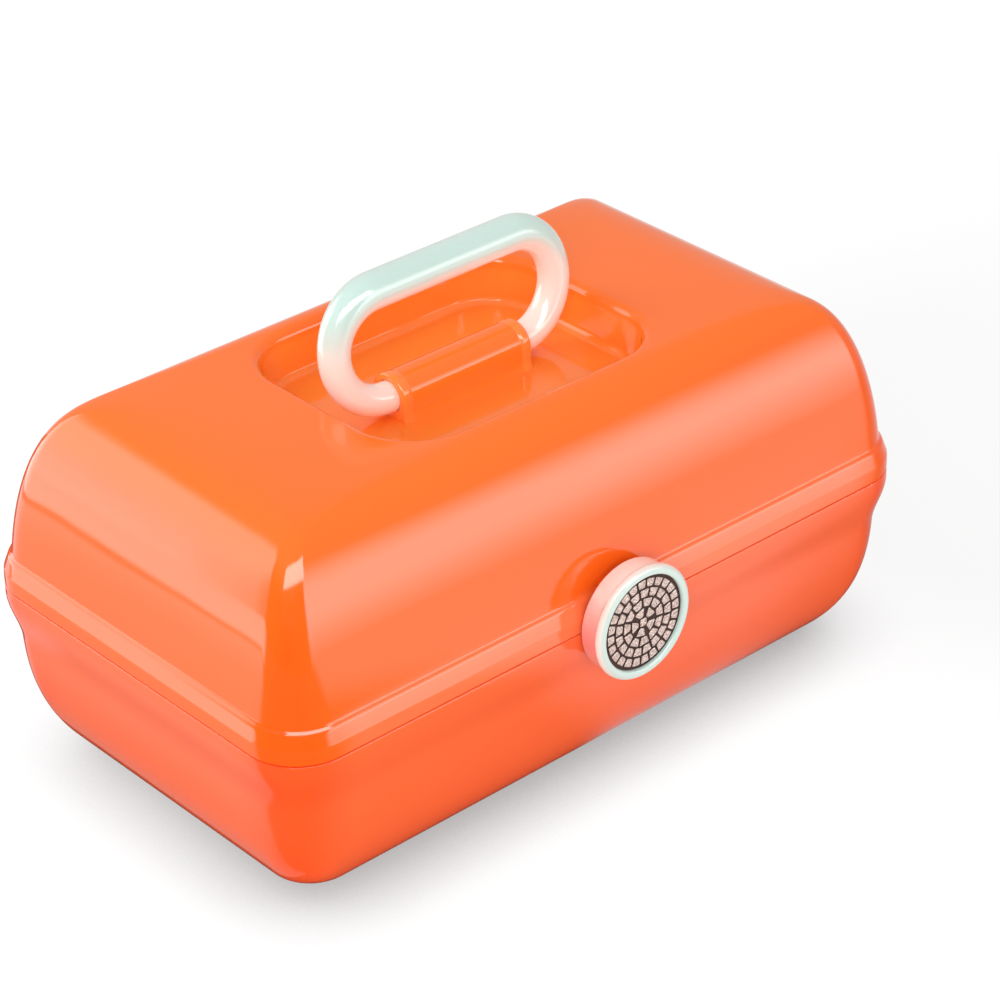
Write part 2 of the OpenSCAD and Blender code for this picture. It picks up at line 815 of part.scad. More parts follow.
module latch_body() {
    color(pearl)
        difference() {
            union() {
                turned_at_latch()
                    polygon([
                        [0, latch_ceiling_y],
                        [latch_cavity, latch_ceiling_y],
                        [latch_cavity, latch_back_y],
                        [latch_side_radius - 0.6, latch_back_y],
                        [latch_side_radius, latch_back_y - 0.6],
                        [latch_side_radius, latch_face_y],
                        [0, latch_face_y]
                    ]);
                bar_x(
                    -latch_block_width / 2,
                    latch_block_width / 2,
                    [latch_pivot_y, latch_pivot_z],
                    latch_ear_radius
                );
                slab_x(-latch_block_width / 2, latch_block_width / 2)
                    polygon([
                        [latch_face_y + latch_plate / 2, latch_pivot_z - latch_ear_radius],
                        [latch_pivot_y, latch_pivot_z - latch_ear_radius],
                        [latch_pivot_y, latch_pivot_z + latch_ear_radius],
                        [latch_face_y + latch_plate / 2, latch_pivot_z + latch_ear_radius]
                    ]);
                slab_x(-hook_width / 2, hook_width / 2)
                    polygon([
                        [latch_face_y + latch_plate / 2, hook_top_z - hook_thickness],
                        [latch_back_y - 0.8, hook_top_z - hook_thickness * 0.6],
                        [latch_back_y - 0.2, hook_top_z],
                        [latch_face_y + latch_plate / 2, hook_top_z]
                    ]);
            }
            bar_x(
                -latch_block_width,
                latch_block_width,
                [latch_pivot_y, latch_pivot_z],
                latch_pin_radius + pin_gap
            );
        }
}

module latch_pin() {
    color(steel)
        bar_x(-ear_outer_x, ear_outer_x, [latch_pivot_y, latch_pivot_z], latch_pin_radius);
}

// The bevelled ring that frames the stones
module bezel_ring() {
    inner = bezel_radius - bezel_width;
    color(pearl)
        turned_at_latch()
            polygon([
                [inner, bezel_back_y],
                [inner, bezel_face_y + 0.5],
                [inner + 0.4, bezel_face_y],
                [bezel_radius - 1.1, bezel_face_y],
                [bezel_radius - 0.3, bezel_face_y + 0.5],
                [bezel_radius, bezel_face_y + 1.2],
                [bezel_radius, bezel_back_y - 0.5],
                [bezel_radius - 0.5, bezel_back_y]
            ]);
}

module jewel_disc() {
    color([0.22, 0.12, 0.1])
        turned_at_latch()
            polygon([
                [0, bezel_back_y],
                [0, disc_front_y],
                [disc_radius, disc_front_y],
                [disc_radius, bezel_back_y]
            ]);
}

// Outline of a stone with cut corners: half widths at its two ends, half length and cut
function stone_outline(near, far, half, cut) = [
    [near - cut, -half], [near, cut - half], [far, half - cut], [far - cut, half],
    [cut - far, half], [-far, half - cut], [-near, cut - half], [cut - near, -half]
];

// A stone with a flat table, standing on z = 0
module stone(near, far) {
    half = (stone_pitch - stone_gap) / 2;
    girdle = stone_outline(near, far, half, half * 0.34);
    skin([
        [for (p = girdle) [p[0], p[1], 0]],
        [for (p = girdle) [p[0] * 0.62, p[1] * 0.62, stone_height]]
    ]);
}

// Stones in rows around a middle one, each row filled to its circumference
module crystals() {
    half = (stone_pitch - stone_gap) / 2;
    color([0.88, 0.76, 0.72])
        translate([0, disc_front_y - seat_gap, latch_z])
            rotate([90, 0, 0]) {
                stone(half, half);
                for (row = [1:stone_rows]) {
                    count = floor(2 * PI * row - 1);
                    reach = row * stone_pitch;
                    near = PI * (reach - half) / count - stone_gap / 2;
                    far = PI * (reach + half) / count - stone_gap / 2;
                    for (i = [0:count - 1])
                        rotate([0, 0, 360 * (i + row * 0.3) / count])
                            translate([0, reach, 0])
                                stone(near, far);
                }
            }
}

// ---- tray ----

function tray_ring(share, inset, z) = [
    for (p = ring(
        tray_x - inset - tray_draft * (1 - share),
        tray_depth / 2 - inset - tray_draft * (1 - share),
        max(tray_corner - inset, 2),
        z
    )) p + [0, tray_mid_y, 0]
];

function tray_rings() = let (
    floor_top = tray_floor_z + tray_wall,
    bend = 4
) concat(
    [
        for (a = [90, 60, 30, 0])
            tray_ring(0, bend * (1 - cos(a)), tray_floor_z + bend * (1 - sin(a)))
    ],
    [
        tray_ring(1, 0, tray_top_z - 0.5),
        tray_ring(1, 0.4, tray_top_z),
        tray_ring(1, tray_wall - 0.4, tray_top_z),
        tray_ring(1, tray_wall, tray_top_z - 0.5)
    ],
    [
        for (a = [0, 45, 90])
            tray_ring(
                0,
                tray_wall + (bend - tray_wall) * (1 - cos(a)),
                floor_top + (bend - tray_wall) * (1 - sin(a))
            )
    ]
);

// The lug plate on a tray end that holds both pivots, its lower edge above the base rivets
module tray_lug() {
    low_z = base_pivot[1] + rivet_head_radius + side_gap;
    slab_x(lug_inner_x, lug_outer_x)
        difference() {
            union() {
                for (p = [lid_pivot, arm_pivot])
                    translate(p)
                        circle(r = boss_radius);
                polygon([
                    [arm_pivot[0] - boss_radius, low_z],
                    [lid_pivot[0] + boss_radius, low_z],
                    [lid_pivot[0] + boss_radius, lid_pivot[1]],
                    [lid_pivot[0] - boss_radius, lid_pivot[1]],
                    [lid_pivot[0] - boss_radius * 2, tray_top_z],
                    [arm_pivot[0] - boss_radius, tray_top_z]
                ]);
            }
            for (p = [lid_pivot, arm_pivot])
                translate(p)
                    circle(r = pivot_bore);
        }
}

module tray() {
    divider_z = tray_top_z - partition_drop;
    low_z = tray_floor_z + tray_wall / 2;
    channel_y = tray_front_y + tray_wall + tray_channel;
    room_x = tray_x - tray_wall / 2;
    cell = 2 * room_x / tray_cells;
    past = 2 * tray_wall;
    color([0.96, 0.93, 0.9]) {
        difference() {
            skin(tray_rings());
            both_ends()
                bar_x(lug_inner_x - past, lug_outer_x, arm_pivot, rivet_head_radius + 2 * seat_gap);
        }
        both_ends()
            tray_lug();
        translate([-room_x + tray_draft / 2, channel_y, low_z])
            cube([2 * room_x - tray_draft, partition, divider_z - low_z]);
        for (i = [1:tray_cells - 1])
            translate([-room_x + i * cell - partition / 2, channel_y + partition / 2, low_z])
                cube([partition, tray_back_y - tray_draft - channel_y - partition / 2, divider_z - low_z]);
    }
}

// ---- tray linkage ----

// A rivet along X whose plates lie between x0 and x1, with a head at each end
module rivet(x0, x1, centre) {
    bar_x(x0 - seat_gap, x1 + seat_gap, centre, rivet_radius);
    for (x = [x0 - seat_gap - rivet_head, x1 + seat_gap])
        bar_x(x, x + rivet_head, centre, rivet_head_radius);
}

module tray_rivets() {
    color(steel)
        both_ends()
            rivet(lug_inner_x, arm_outer_x, lid_pivot);
}

module arm_tray_rivets() {
    color(steel)
        both_ends()
            rivet(lug_inner_x, arm_outer_x, arm_pivot);
}

module arm_base_rivets() {
    color(steel)
        both_ends() {
            bar_x(arm_inner_x - seat_gap, side_room - 3 * seat_gap, base_pivot, rivet_radius);
            bar_x(arm_inner_x - seat_gap - rivet_head, arm_inner_x - seat_gap, base_pivot, rivet_head_radius);
        }
}

// A link arm from the base pivot to the arm pivot on the tray
module link_arm(side) {
    span = arm_pivot - base_pivot;
    reach = norm(span);
    color(steel)
        at_side(side)
            slab_x(arm_inner_x, arm_outer_x)
                translate(base_pivot)
                    rotate([0, 0, atan2(span[1], span[0])])
                        difference() {
                            union() {
                                translate([0, -arm_width / 2])
                                    square([reach, arm_width]);
                                for (u = [0, reach])
                                    translate([u, 0])
                                        circle(d = arm_width);
                            }
                            for (u = [0, reach])
                                translate([u, 0])
                                    circle(r = pivot_bore);
                        }
}

module link_arm_left() { link_arm(-1); }

module link_arm_right() { link_arm(1); }

// ---- mirror ----

module mirror_frame() {
    color([0.97, 0.95, 0.93])
        difference() {
            translate([0, 0, mirror_low_z])
                linear_extrude(mirror_top_z - mirror_low_z)
                    polygon(rounded(mirror_x, mirror_y, mirror_corner));
            translate([0, 0, mirror_low_z - 1])
                linear_extrude(backing_z - mirror_low_z + 1)
                    polygon(rounded(glass_x, glass_y, mirror_corner - mirror_border));
            screw_places() {
                translate([0, 0, -mirror_backing - 1])
                    cylinder(r = screw_radius + pin_gap, h = mirror_backing + 2);
                translate([0, 0, -mirror_backing - seat_gap])
                    cylinder(
                        r1 = screw_head_radius + pin_gap + seat_gap * head_slope,
                        r2 = screw_radius + pin_gap,
                        h = screw_head + seat_gap
                    );
            }
        }
}

module mirror_glass() {
    color([0.8, 0.84, 0.88])
        translate([0, 0, backing_z - seat_gap - glass_thickness])
            linear_extrude(glass_thickness)
                polygon(rounded(glass_x - seat_gap, glass_y - seat_gap, mirror_corner - mirror_border));
}

module mirror_screws() {
    color(steel)
        screw_places() {
            translate([0, 0, -mirror_backing + screw_head - seat_gap])
                cylinder(r = screw_radius, h = mirror_backing - screw_head + screw_depth - 1.2);
            translate([0, 0, -mirror_backing])
                cylinder(r1 = screw_head_radius, r2 = screw_radius, h = screw_head);
        }
}

base_shell();
hinge_pin_left();
hinge_pin_right();
lid_shell();
lid_bracket_left();
lid_bracket_right();
mirror_frame();
mirror_glass();
mirror_screws();
handle();
latch_pin();
latch_body();
bezel_ring();
jewel_disc();
crystals();
tray();
tray_rivets();
link_arm_left();
link_arm_right();
arm_tray_rivets();
arm_base_rivets();
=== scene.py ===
"""Makeup case with a domed lid, a folding loop handle, a flip latch and a lifting tray."""

from math import cos, pi, radians, sin

import bmesh
import bpy
from mathutils import Matrix, Vector
from mathutils.geometry import tessellate_polygon


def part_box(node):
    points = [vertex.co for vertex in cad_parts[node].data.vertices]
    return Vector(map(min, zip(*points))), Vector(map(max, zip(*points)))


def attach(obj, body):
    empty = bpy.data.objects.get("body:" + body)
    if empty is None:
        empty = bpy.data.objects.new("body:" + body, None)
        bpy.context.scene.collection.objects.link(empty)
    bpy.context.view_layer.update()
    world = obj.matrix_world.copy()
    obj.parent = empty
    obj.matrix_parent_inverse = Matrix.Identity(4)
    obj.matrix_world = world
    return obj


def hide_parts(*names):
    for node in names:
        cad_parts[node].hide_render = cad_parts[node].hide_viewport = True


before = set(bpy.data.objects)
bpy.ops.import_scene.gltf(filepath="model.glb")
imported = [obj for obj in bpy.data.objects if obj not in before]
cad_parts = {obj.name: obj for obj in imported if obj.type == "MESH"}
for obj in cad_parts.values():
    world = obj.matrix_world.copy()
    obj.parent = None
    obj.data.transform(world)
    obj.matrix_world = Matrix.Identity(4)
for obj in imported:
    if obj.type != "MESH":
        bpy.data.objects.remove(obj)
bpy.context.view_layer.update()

bl_info = {
    "name": "Makeup case with handle", "version": (1, 0, 0), "blender": (4, 5, 0),
    "location": "View3D > Sidebar > Makeup case",
    "description": "Builds a moulded makeup case, its fittings and a small photo studio",
    "category": "Add Mesh"
}

MM = 0.001
LATCH_PLATE = 1.2 * MM  # thickness of the latch's face under its disc
BLEND_IN = 0.5 * MM  # first flat step beside a fillet
FLAT_SPAN = 20 * MM  # how far the last ring of a flat floor is set in
SWELL_FOOT = 9 * MM  # how far the base's swell reaches down its wall
SWELL_TOP = 7 * MM  # how far it reaches up the rim band
BORE_STEPS = 24
SIDE_STEPS = 6
BARREL_STEPS = 24
HOOP_STEPS = 48
WIDEST_STONE = 1.45  # half width of a stone's outer end, in half pitches
RING_TWIST = 0.3  # turn of each ring of stones against the next, in stones
WELD = 1e-7
TINY = 1e-9
GLOW = 5.0  # strength of what glows in the studio


# ---- sizes and colours ----


def length(name, description, millimetres):
    """A length that the user can change, given in millimetres and kept in metres."""
    return bpy.props.FloatProperty(
        name=name, description=description, default=millimetres * MM, unit="LENGTH",
        subtype="DISTANCE", precision=5
    )


def number(name, description, default):
    """A plain number that the user can change."""
    return bpy.props.FloatProperty(name=name, description=description, default=default, precision=3)


def count(name, description, default):
    """A whole number that the user can change."""
    return bpy.props.IntProperty(name=name, description=description, default=default, min=1)


def colour(name, description, red, green, blue):
    """A colour that the user can change, as linear red, green and blue."""
    return bpy.props.FloatVectorProperty(
        name=name, description=description, default=(red, green, blue), subtype="COLOR", size=3,
        min=0.0, max=1.0
    )


class CaseSizes(bpy.types.PropertyGroup):
    """Sizes of the two moulded shells."""

    case_length: length("Case length", "Outside length across the rim", 240)
    case_depth: length("Case depth", "Outside depth across the rim", 141)
    base_height: length("Base height", "Height of the seam", 58)
    case_height: length("Case height", "Height of the closed case at the crest", 116.6)
    wall: length("Wall", "Thickness of the moulded walls", 2.2)
    rim_corner: length("Rim corner", "Plan radius of the corners at the rim", 17)
    seam_gap: length("Seam gap", "Gap between lid and base", 0.3)
    lid_band: length("Lid band", "Height of the stepped band above the seam", 9)
    lid_step: length("Lid step", "Step from the lid band in to the lid wall", 1.7)
    band_lean: length("Band lean", "Lean of the lid band from its widest line to its top", 0.8)
    band_bead: length("Band bead", "Fine step half way up the lid band", 0.2)
    lid_top_corner: length("Lid top corner", "Plan radius of the corners just below the top", 4)
    end_curve: number("End curve", "How soon the end walls start to lean", 1.3)
    end_shoulder: number("End shoulder", "How tightly the end walls turn over", 7.2)
    front_curve: number("Front curve", "How soon the long walls start to lean", 1.5)
    front_shoulder: number("Front shoulder", "How tightly the long walls turn over", 2)
    recess_length: length("Recess length", "Length of the handle recess", 100)
    recess_depth: length("Recess depth", "Depth of the handle recess", 76)
    recess_corner: length("Recess corner", "Plan radius of the recess corners", 20)
    recess_drop: length("Recess drop", "Drop from the crest to the recess floor", 14.1)
    recess_lip: length("Recess lip", "Radius of the rounded recess edge", 3.2)
    recess_draft: length("Recess draft", "Lean of the recess wall", 1.6)
    floor_fillet: length("Floor fillet", "Fillet around the recess floor", 3)
    base_band: length("Base band", "Height of the rim band below the seam", 9)
    base_step: length("Base step", "Step from the base band in to the base wall", 2.7)
    sole_length: length("Sole length", "Length of the flat sole", 184)
    sole_depth: length("Sole depth", "Depth of the flat sole", 85)
    sole_corner: length("Sole corner", "Plan radius of the sole corners", 12)
    sole_height: length("Sole height", "Height of the sole pad", 1)
    base_curve: number("Base curve", "How late the base walls turn under", 3.1)
    base_turn: number("Base turn", "How tightly the base walls turn under", 2.2)
    tongue_height: length("Tongue height", "Height of the locating tongue", 3.4)
    tongue_thickness: length("Tongue thickness", "Thickness of the locating tongue", 1.6)
    tongue_gap: length("Tongue gap", "Gap around the locating tongue", 0.35)
    corner_steps: count("Corner steps", "Faces around a quarter of a corner", 20)


class FittingSizes(bpy.types.PropertyGroup):
    """Sizes of the hinges, handle, latch, stones and tray."""

    hinge_spacing: length("Hinge spacing", "Distance between the middles of the hinges", 120)
    hinge_length: length("Hinge length", "Length of one hinge", 40)
    knuckle_count: count("Knuckles", "Number of knuckles in one hinge", 5)
    knuckle_radius: length("Knuckle radius", "Outer radius of a knuckle", 3.4)
    hinge_pin: length("Hinge pin", "Radius of the hinge pins", 1.2)
    knuckle_web: length("Knuckle web", "Height of the web that carries a knuckle", 7.5)
    handle_bar: length("Handle bar", "Thickness of the round handle bar at its legs", 9.6)
    handle_grip: length("Handle grip", "Thickness of the round handle bar at its grip", 11.4)
    handle_rise: length("Handle rise", "Rise of the grip above the handle axis", 32.6)
    handle_bend: length("Handle bend", "Bend radius of the upper corners", 16.1)
    handle_lean: number("Handle lean", "Lean of the raised handle to the back, in degrees", 8)
    handle_side_gap: length("Handle side gap", "Space between handle and recess edge", 3.9)
    handle_floor_gap: length("Handle floor gap", "Space between bar and recess floor", 1.2)
    handle_end: length("Handle end", "Length of each handle end in the barrel", 11)
    barrel_wall: length("Barrel wall", "Thickness of the barrel's wall", 1.9)
    collar_width: length("Collar width", "Width of the collars on the barrel", 3.5)
    collar_step: length("Collar step", "Step of the collars over the barrel", 0.3)
    bezel_radius: length("Bezel radius", "Outer radius of the bezel ring", 17.7)
    bezel_width: length("Bezel width", "Width of the bezel ring's face", 2.9)
    bezel_thickness: length("Bezel thickness", "Thickness of the bezel ring", 2.5)
    bezel_step: length("Bezel step", "Step of the bezel over the latch's side", 0.8)
    latch_depth: length("Latch depth", "Depth of the latch from back to face", 8.8)
    latch_standoff: length("Latch standoff", "Space between rim and latch", 0.7)
    latch_rise: length("Latch rise", "Height of the latch centre above the seam", 1)
    latch_wall: length("Latch wall", "Thickness of the latch's side wall", 1.9)
    latch_pivot_rise: length("Latch pivot rise", "Height of the latch pin above the centre", 8.5)
    latch_pin: length("Latch pin", "Radius of the latch pin", 1.1)
    ear_radius: length("Ear radius", "Radius of the ears around the latch pin", 2.2)
    ear_width: length("Ear width", "Width of one latch ear", 2.2)
    block_width: length("Block width", "Width of the latch's hinge block", 8.4)
    hook_width: length("Hook width", "Width of the hook and the keeper", 10)
    hook_thickness: length("Hook thickness", "Thickness of the hook plate", 3)
    keeper_reach: length("Keeper reach", "Reach of the keeper out from the rim", 3.9)
    keeper_drop: length("Keeper drop", "Height of the keeper below the seam", 7.3)
    stone_pitch: length("Stone pitch", "Distance between the rows of stones", 3.12)
    stone_rows: count("Stone rows", "Number of ringed rows", 4)
    stone_gap: length("Stone gap", "Gap between neighbouring stones", 0.55)
    stone_height: length("Stone height", "Height of a stone above the disc", 0.8)
    pin_gap: length("Pin gap", "Radial gap between a pin and its bore", 0.1)
    side_gap: length("Side gap", "Gap beside parts that turn past each other", 0.4)
    seat_gap: length("Seat gap", "Gap between clipped or glued parts", 0.1)


class CaseColours(bpy.types.PropertyGroup):
    """Colours of the case and its fittings."""

    lid_coral: colour("Lid coral", "Colour of the lid", 0.99, 0.135, 0.011)
    # painted reflection: lighter coral on the rim band's long sides, standing in for light the band
    # reflects
    band_reflection_coral: colour("Band coral", "Colour of the lid's rim band", 1.0, 0.19, 0.065)
    # painted glow: lighter coral at the top of the lid, for light shining through the plastic
    top_glow_coral: colour("Top coral", "Colour of the top of the lid", 1.0, 0.17, 0.012)
    # painted glow: lighter coral in the recess and at the barrel's foot, for light shining through
    # the plastic
    recess_glow_coral: colour("Recess coral", "Colour of the lid inside the recess", 1.0, 0.25, 0.035)
    base_coral: colour("Base coral", "Colour of the base", 1.0, 0.15, 0.043)
    base_deep: colour("Base deep", "Colour of the base toward its sole", 1.0, 0.145, 0.042)
    barrel_orange: colour("Barrel orange", "Colour of the handle barrel", 1.0, 0.20, 0.020)
    # painted highlight: lighter orange on the barrel's collars
    collar_highlight_orange: colour("Collar orange", "Colour of the barrel's collars", 1.0, 0.31, 0.075)
    pearl_mint: colour("Pearl mint", "Cool face of the pearl plastic", 0.56, 0.74, 0.68)
    # the pearl's own pink tint, also used on the handle and bezel where coral light bouncing onto
    # them is painted
    pearl_pink: colour("Pearl pink", "Warm side of the pearl plastic", 1.0, 0.78, 0.70)
    # painted bounce light: deep rose low on the latch's side, over the pearl's pink tint
    pearl_rose: colour("Pearl rose", "Side of the latch", 0.86, 0.17, 0.15)
    # painted sheen: pale pearl along the outline of the parts
    pearl_rim_sheen: colour("Pearl rim", "Pale edge of the pearl plastic", 0.94, 0.85, 0.77)
    disc_brown: colour("Disc brown", "Colour of the disc under the stones", 0.030, 0.012, 0.009)
    stone_pale: colour("Stone pale", "Light grains of the stones", 0.68, 0.52, 0.46)
    stone_dark: colour("Stone dark", "Dark grains of the stones", 0.36, 0.22, 0.18)
    # painted glints on the brightest grains of the stones
    stone_glint: colour("Stone glint", "Brightest facets of the stones", 0.98, 0.88, 0.84)
    tray_cream: colour("Tray cream", "Colour of the tray", 0.88, 0.83, 0.78)
    frame_cream: colour("Frame cream", "Colour of the mirror's frame", 0.88, 0.84, 0.80)
    mirror_silver: colour("Mirror silver", "Colour of the mirror", 0.86, 0.88, 0.90)
    steel_grey: colour("Steel grey", "Colour of the pins and screws", 0.56, 0.56, 0.58)


class Kept:
    """One group of the values that the scene keeps, looked up when they are used."""

    def __init__(self, group):
        self.group = group

    def __getattr__(self, name):
        return getattr(getattr(bpy.context.scene, self.group), name)


sizes = Kept("case_sizes")
fittings = Kept("fitting_sizes")
colours = Kept("case_colours")


# ---- shader maths ----


def maths(operation, swapped=False):
    """An operator that adds a Math node, with its values swapped in a reflected form."""

    def operator(self, other):
        values = (other, self) if swapped else (self, other)
        return self.tree.math(operation, *values)

    return operator


class Wire:
    """A socket of a shader, with operators that add Math nodes."""

    __add__ = maths("ADD")
    __radd__ = maths("ADD", swapped=True)
    __sub__ = maths("SUBTRACT")
    __rsub__ = maths("SUBTRACT", swapped=True)
    __mul__ = maths("MULTIPLY")
    __rmul__ = maths("MULTIPLY", swapped=True)
    __truediv__ = maths("DIVIDE")
    __rtruediv__ = maths("DIVIDE", swapped=True)
    __pow__ = maths("POWER")

    def __init__(self, tree, socket):
        self.tree = tree
        self.socket = socket

    def __neg__(self):
        return self * -1.0

    def __abs__(self):
        return self.tree.math("ABSOLUTE", self)

    def smooth(self, low, high):
        """Zero below low and one above high, with a soft step between them."""
        return self.tree.node(
            "ShaderNodeMapRange", {"interpolation_type": "SMOOTHSTEP"},
            {"Value": self, "From Min": low, "From Max": high}
        )

    def mix(self, first, second, blend="MIX"):
        """The first colour where this is zero and the blended second where it is one."""
        settings = {"data_type": "RGBA", "blend_type": blend}
        return self.tree.node("ShaderNodeMix", settings, {0: self, 6: first, 7: second}, out=2)


class Tree:
    """The shader nodes of a material or a world."""

    def __init__(self, owner):
        owner.use_nodes = True
        self.nodes = owner.node_tree.nodes
        self.links = owner.node_tree.links
        self.nodes.clear()

    def node(self, kind, settings=None, values=None, out=0):
        """Add a node, set it up, feed its sockets and return one of its outputs."""
        made = self.nodes.new(kind)
        for name, value in (settings or {}).items():
            setattr(made, name, value)
        for name, value in (values or {}).items():
            self.feed(made.inputs[name], value)
        return Wire(self, made.outputs[out]) if made.outputs else None

    def feed(self, socket, value):
        """Link a wire to a socket, or set the socket's own value."""
        if isinstance(value, Wire):
            self.links.new(value.socket, socket)
        elif socket.type == "RGBA":
            socket.default_value = (*tuple(value)[:3], 1)
        else:
            socket.default_value = value

    def math(self, operation, *values):
        """A Math node."""
        return self.node("ShaderNodeMath", {"operation": operation}, dict(enumerate(values)))

    def split(self, kind, source):
        """The first three outputs of a node that separates its source."""
        outputs = self.node(kind, values={0: source}).socket.node.outputs
        return [Wire(self, outputs[i]) for i in range(3)]


class Paint(Tree):
    """A material and the nodes that make it up."""

    def __init__(self, name):
        self.material = bpy.data.materials.new(name)
        super().__init__(self.material)
        self.place = self.node("ShaderNodeTexCoord", out="Object")
        self.relief = None

    def axes(self):
        """The place along X, Y and Z in metres."""
        return self.split("ShaderNodeSeparateXYZ", self.place)

    def upward(self):
        """How far the surface faces up, from minus one to one."""
        normal = self.node("ShaderNodeTexCoord", out="Normal")
        return self.split("ShaderNodeSeparateXYZ", normal)[2]

    def stretched(self, scale, place=None):
        """The place with each axis scaled by its own number."""
        settings = {"operation": "MULTIPLY"}
        return self.node("ShaderNodeVectorMath", settings, {0: place or self.place, 1: scale})

    def noise(self, scale, detail=2.0, rough=0.5, distortion=0.0, grain=None):
        """Cloudy noise with the given number of clouds to a metre, or drawn out by a grain."""
        values = {"Vector": self.stretched(grain) if grain else self.place, "Scale": scale}
        values.update(Detail=detail, Roughness=rough, Distortion=distortion)
        return self.node("ShaderNodeTexNoise", values=values)

    def scratches(self, scale, width, turn):
        """Thin hairline scratches, one where a line runs and zero elsewhere."""
        values = {"Vector": self.place, "Rotation": turn}
        turned = self.node("ShaderNodeVectorRotate", {"rotation_type": "EULER_XYZ"}, values)
        values = {"Vector": self.stretched((1.0, 0.06, 1.0), turned), "Scale": scale}
        cells = self.node("ShaderNodeTexVoronoi", {"feature": "DISTANCE_TO_EDGE"}, values)
        return 1 - cells.smooth(0.0, width)

    def facing(self, blend):
        """How far the surface turns away, one at its outline."""
        return self.node("ShaderNodeLayerWeight", values={"Blend": blend}, out="Facing")

    def bump(self, height, strength, distance):
        """Raise the surface by a height, over any relief already given."""
        values = {"Height": height, "Strength": strength, "Distance": distance}
        if self.relief is not None:
            values["Normal"] = self.relief
        self.relief = self.node("ShaderNodeBump", values=values)

    def glow(self, light, strength=GLOW):
        """A shader that gives off light, worked out as a share of the strength."""
        shade = self.node("ShaderNodeCombineColor", values={i: light / strength for i in range(3)})
        return self.node(
            "ShaderNodeBsdfPrincipled",
            values={
                "Base Color": (0, 0, 0),
                "Specular IOR Level": 0.0,
                "Emission Color": shade,
                "Emission Strength": strength,
            },
        )

    def surface(self, **values):
        """Close the material with one shader, whose sockets are named with underscores."""
        sockets = {name.replace("_", " "): value for name, value in values.items()}
        if self.relief is not None:
            sockets["Normal"] = self.relief
        shader = self.node("ShaderNodeBsdfPrincipled", values=sockets)
        self.node("ShaderNodeOutputMaterial", values={"Surface": shader})
        return self.material


def band(wire, low, high, soft):
    """One between two angles in degrees and zero outside, with soft edges."""
    start = wire.smooth(radians(low - soft / 2), radians(low + soft / 2))
    end = wire.smooth(radians(high - soft / 2), radians(high + soft / 2))
    return start * (1 - end)


# ---- forms ----


def arc(centre, radius, start, end, steps):
    """Points on an arc between two angles in degrees."""
    turns = [radians(start + (end - start) * i / steps) for i in range(steps + 1)]
    return [(centre[0] + radius * cos(a), centre[1] + radius * sin(a)) for a in turns]


def side_points(first, last):
    """Points between two corners, closer together near them."""
    shares = [(1 - cos(pi * (i + 1) / (SIDE_STEPS + 1))) / 2 for i in range(SIDE_STEPS)]
    return [
        (first[0] + (last[0] - first[0]) * s, first[1] + (last[1] - first[1]) * s) for s in shares
    ]


def outline(x, y, radius):
    """A rounded rectangle with half sizes x and y, with points along its sides too."""
    x -= radius
    y -= radius
    centres = ((x, y), (-x, y), (-x, -y), (x, -y))
    steps = sizes.corner_steps
    corners = [arc(centre, radius, 90 * i, 90 * i + 90, steps) for i, centre in enumerate(centres)]
    points = []
    for corner, following in zip(corners, corners[1:] + corners[:1]):
        points += corner + side_points(corner[-1], following[0])
    return points


def lean(share, curve, shoulder):
    """How far out a wall still stands at a share of its way, from one down to zero."""
    return max(0.0, 1 - share**curve) ** (1 / shoulder)


def bore_hole(centre, pin):
    """The outline of the bore around a pin."""
    step = 360 / BORE_STEPS
    return arc(centre, pin + fittings.pin_gap, 0, 360 - step, BORE_STEPS - 1)


def soften(points, reach, steps=3, closed=False):
    """Round the corners of a line of points, each by at most reach along its sides."""
    points = [Vector(p) for p in points]
    last = len(points) - 1
    rounded = []
    for i, point in enumerate(points):
        if not closed and i in (0, last):
            rounded.append(point)
            continue
        start, end = (
            point + (near - point) * min(0.45, reach / max((near - point).length, TINY))
            for near in (points[i - 1], points[(i + 1) % (last + 1)])
        )
        for k in range(steps + 1):
            t = k / steps
            rounded.append(start * (1 - t) ** 2 + point * 2 * t * (1 - t) + end * t**2)
    return rounded


def put(name, data):
    """Make an object of some data and put it in the scene."""
    made = bpy.data.objects.new(name, data)
    bpy.context.scene.collection.objects.link(made)
    return made


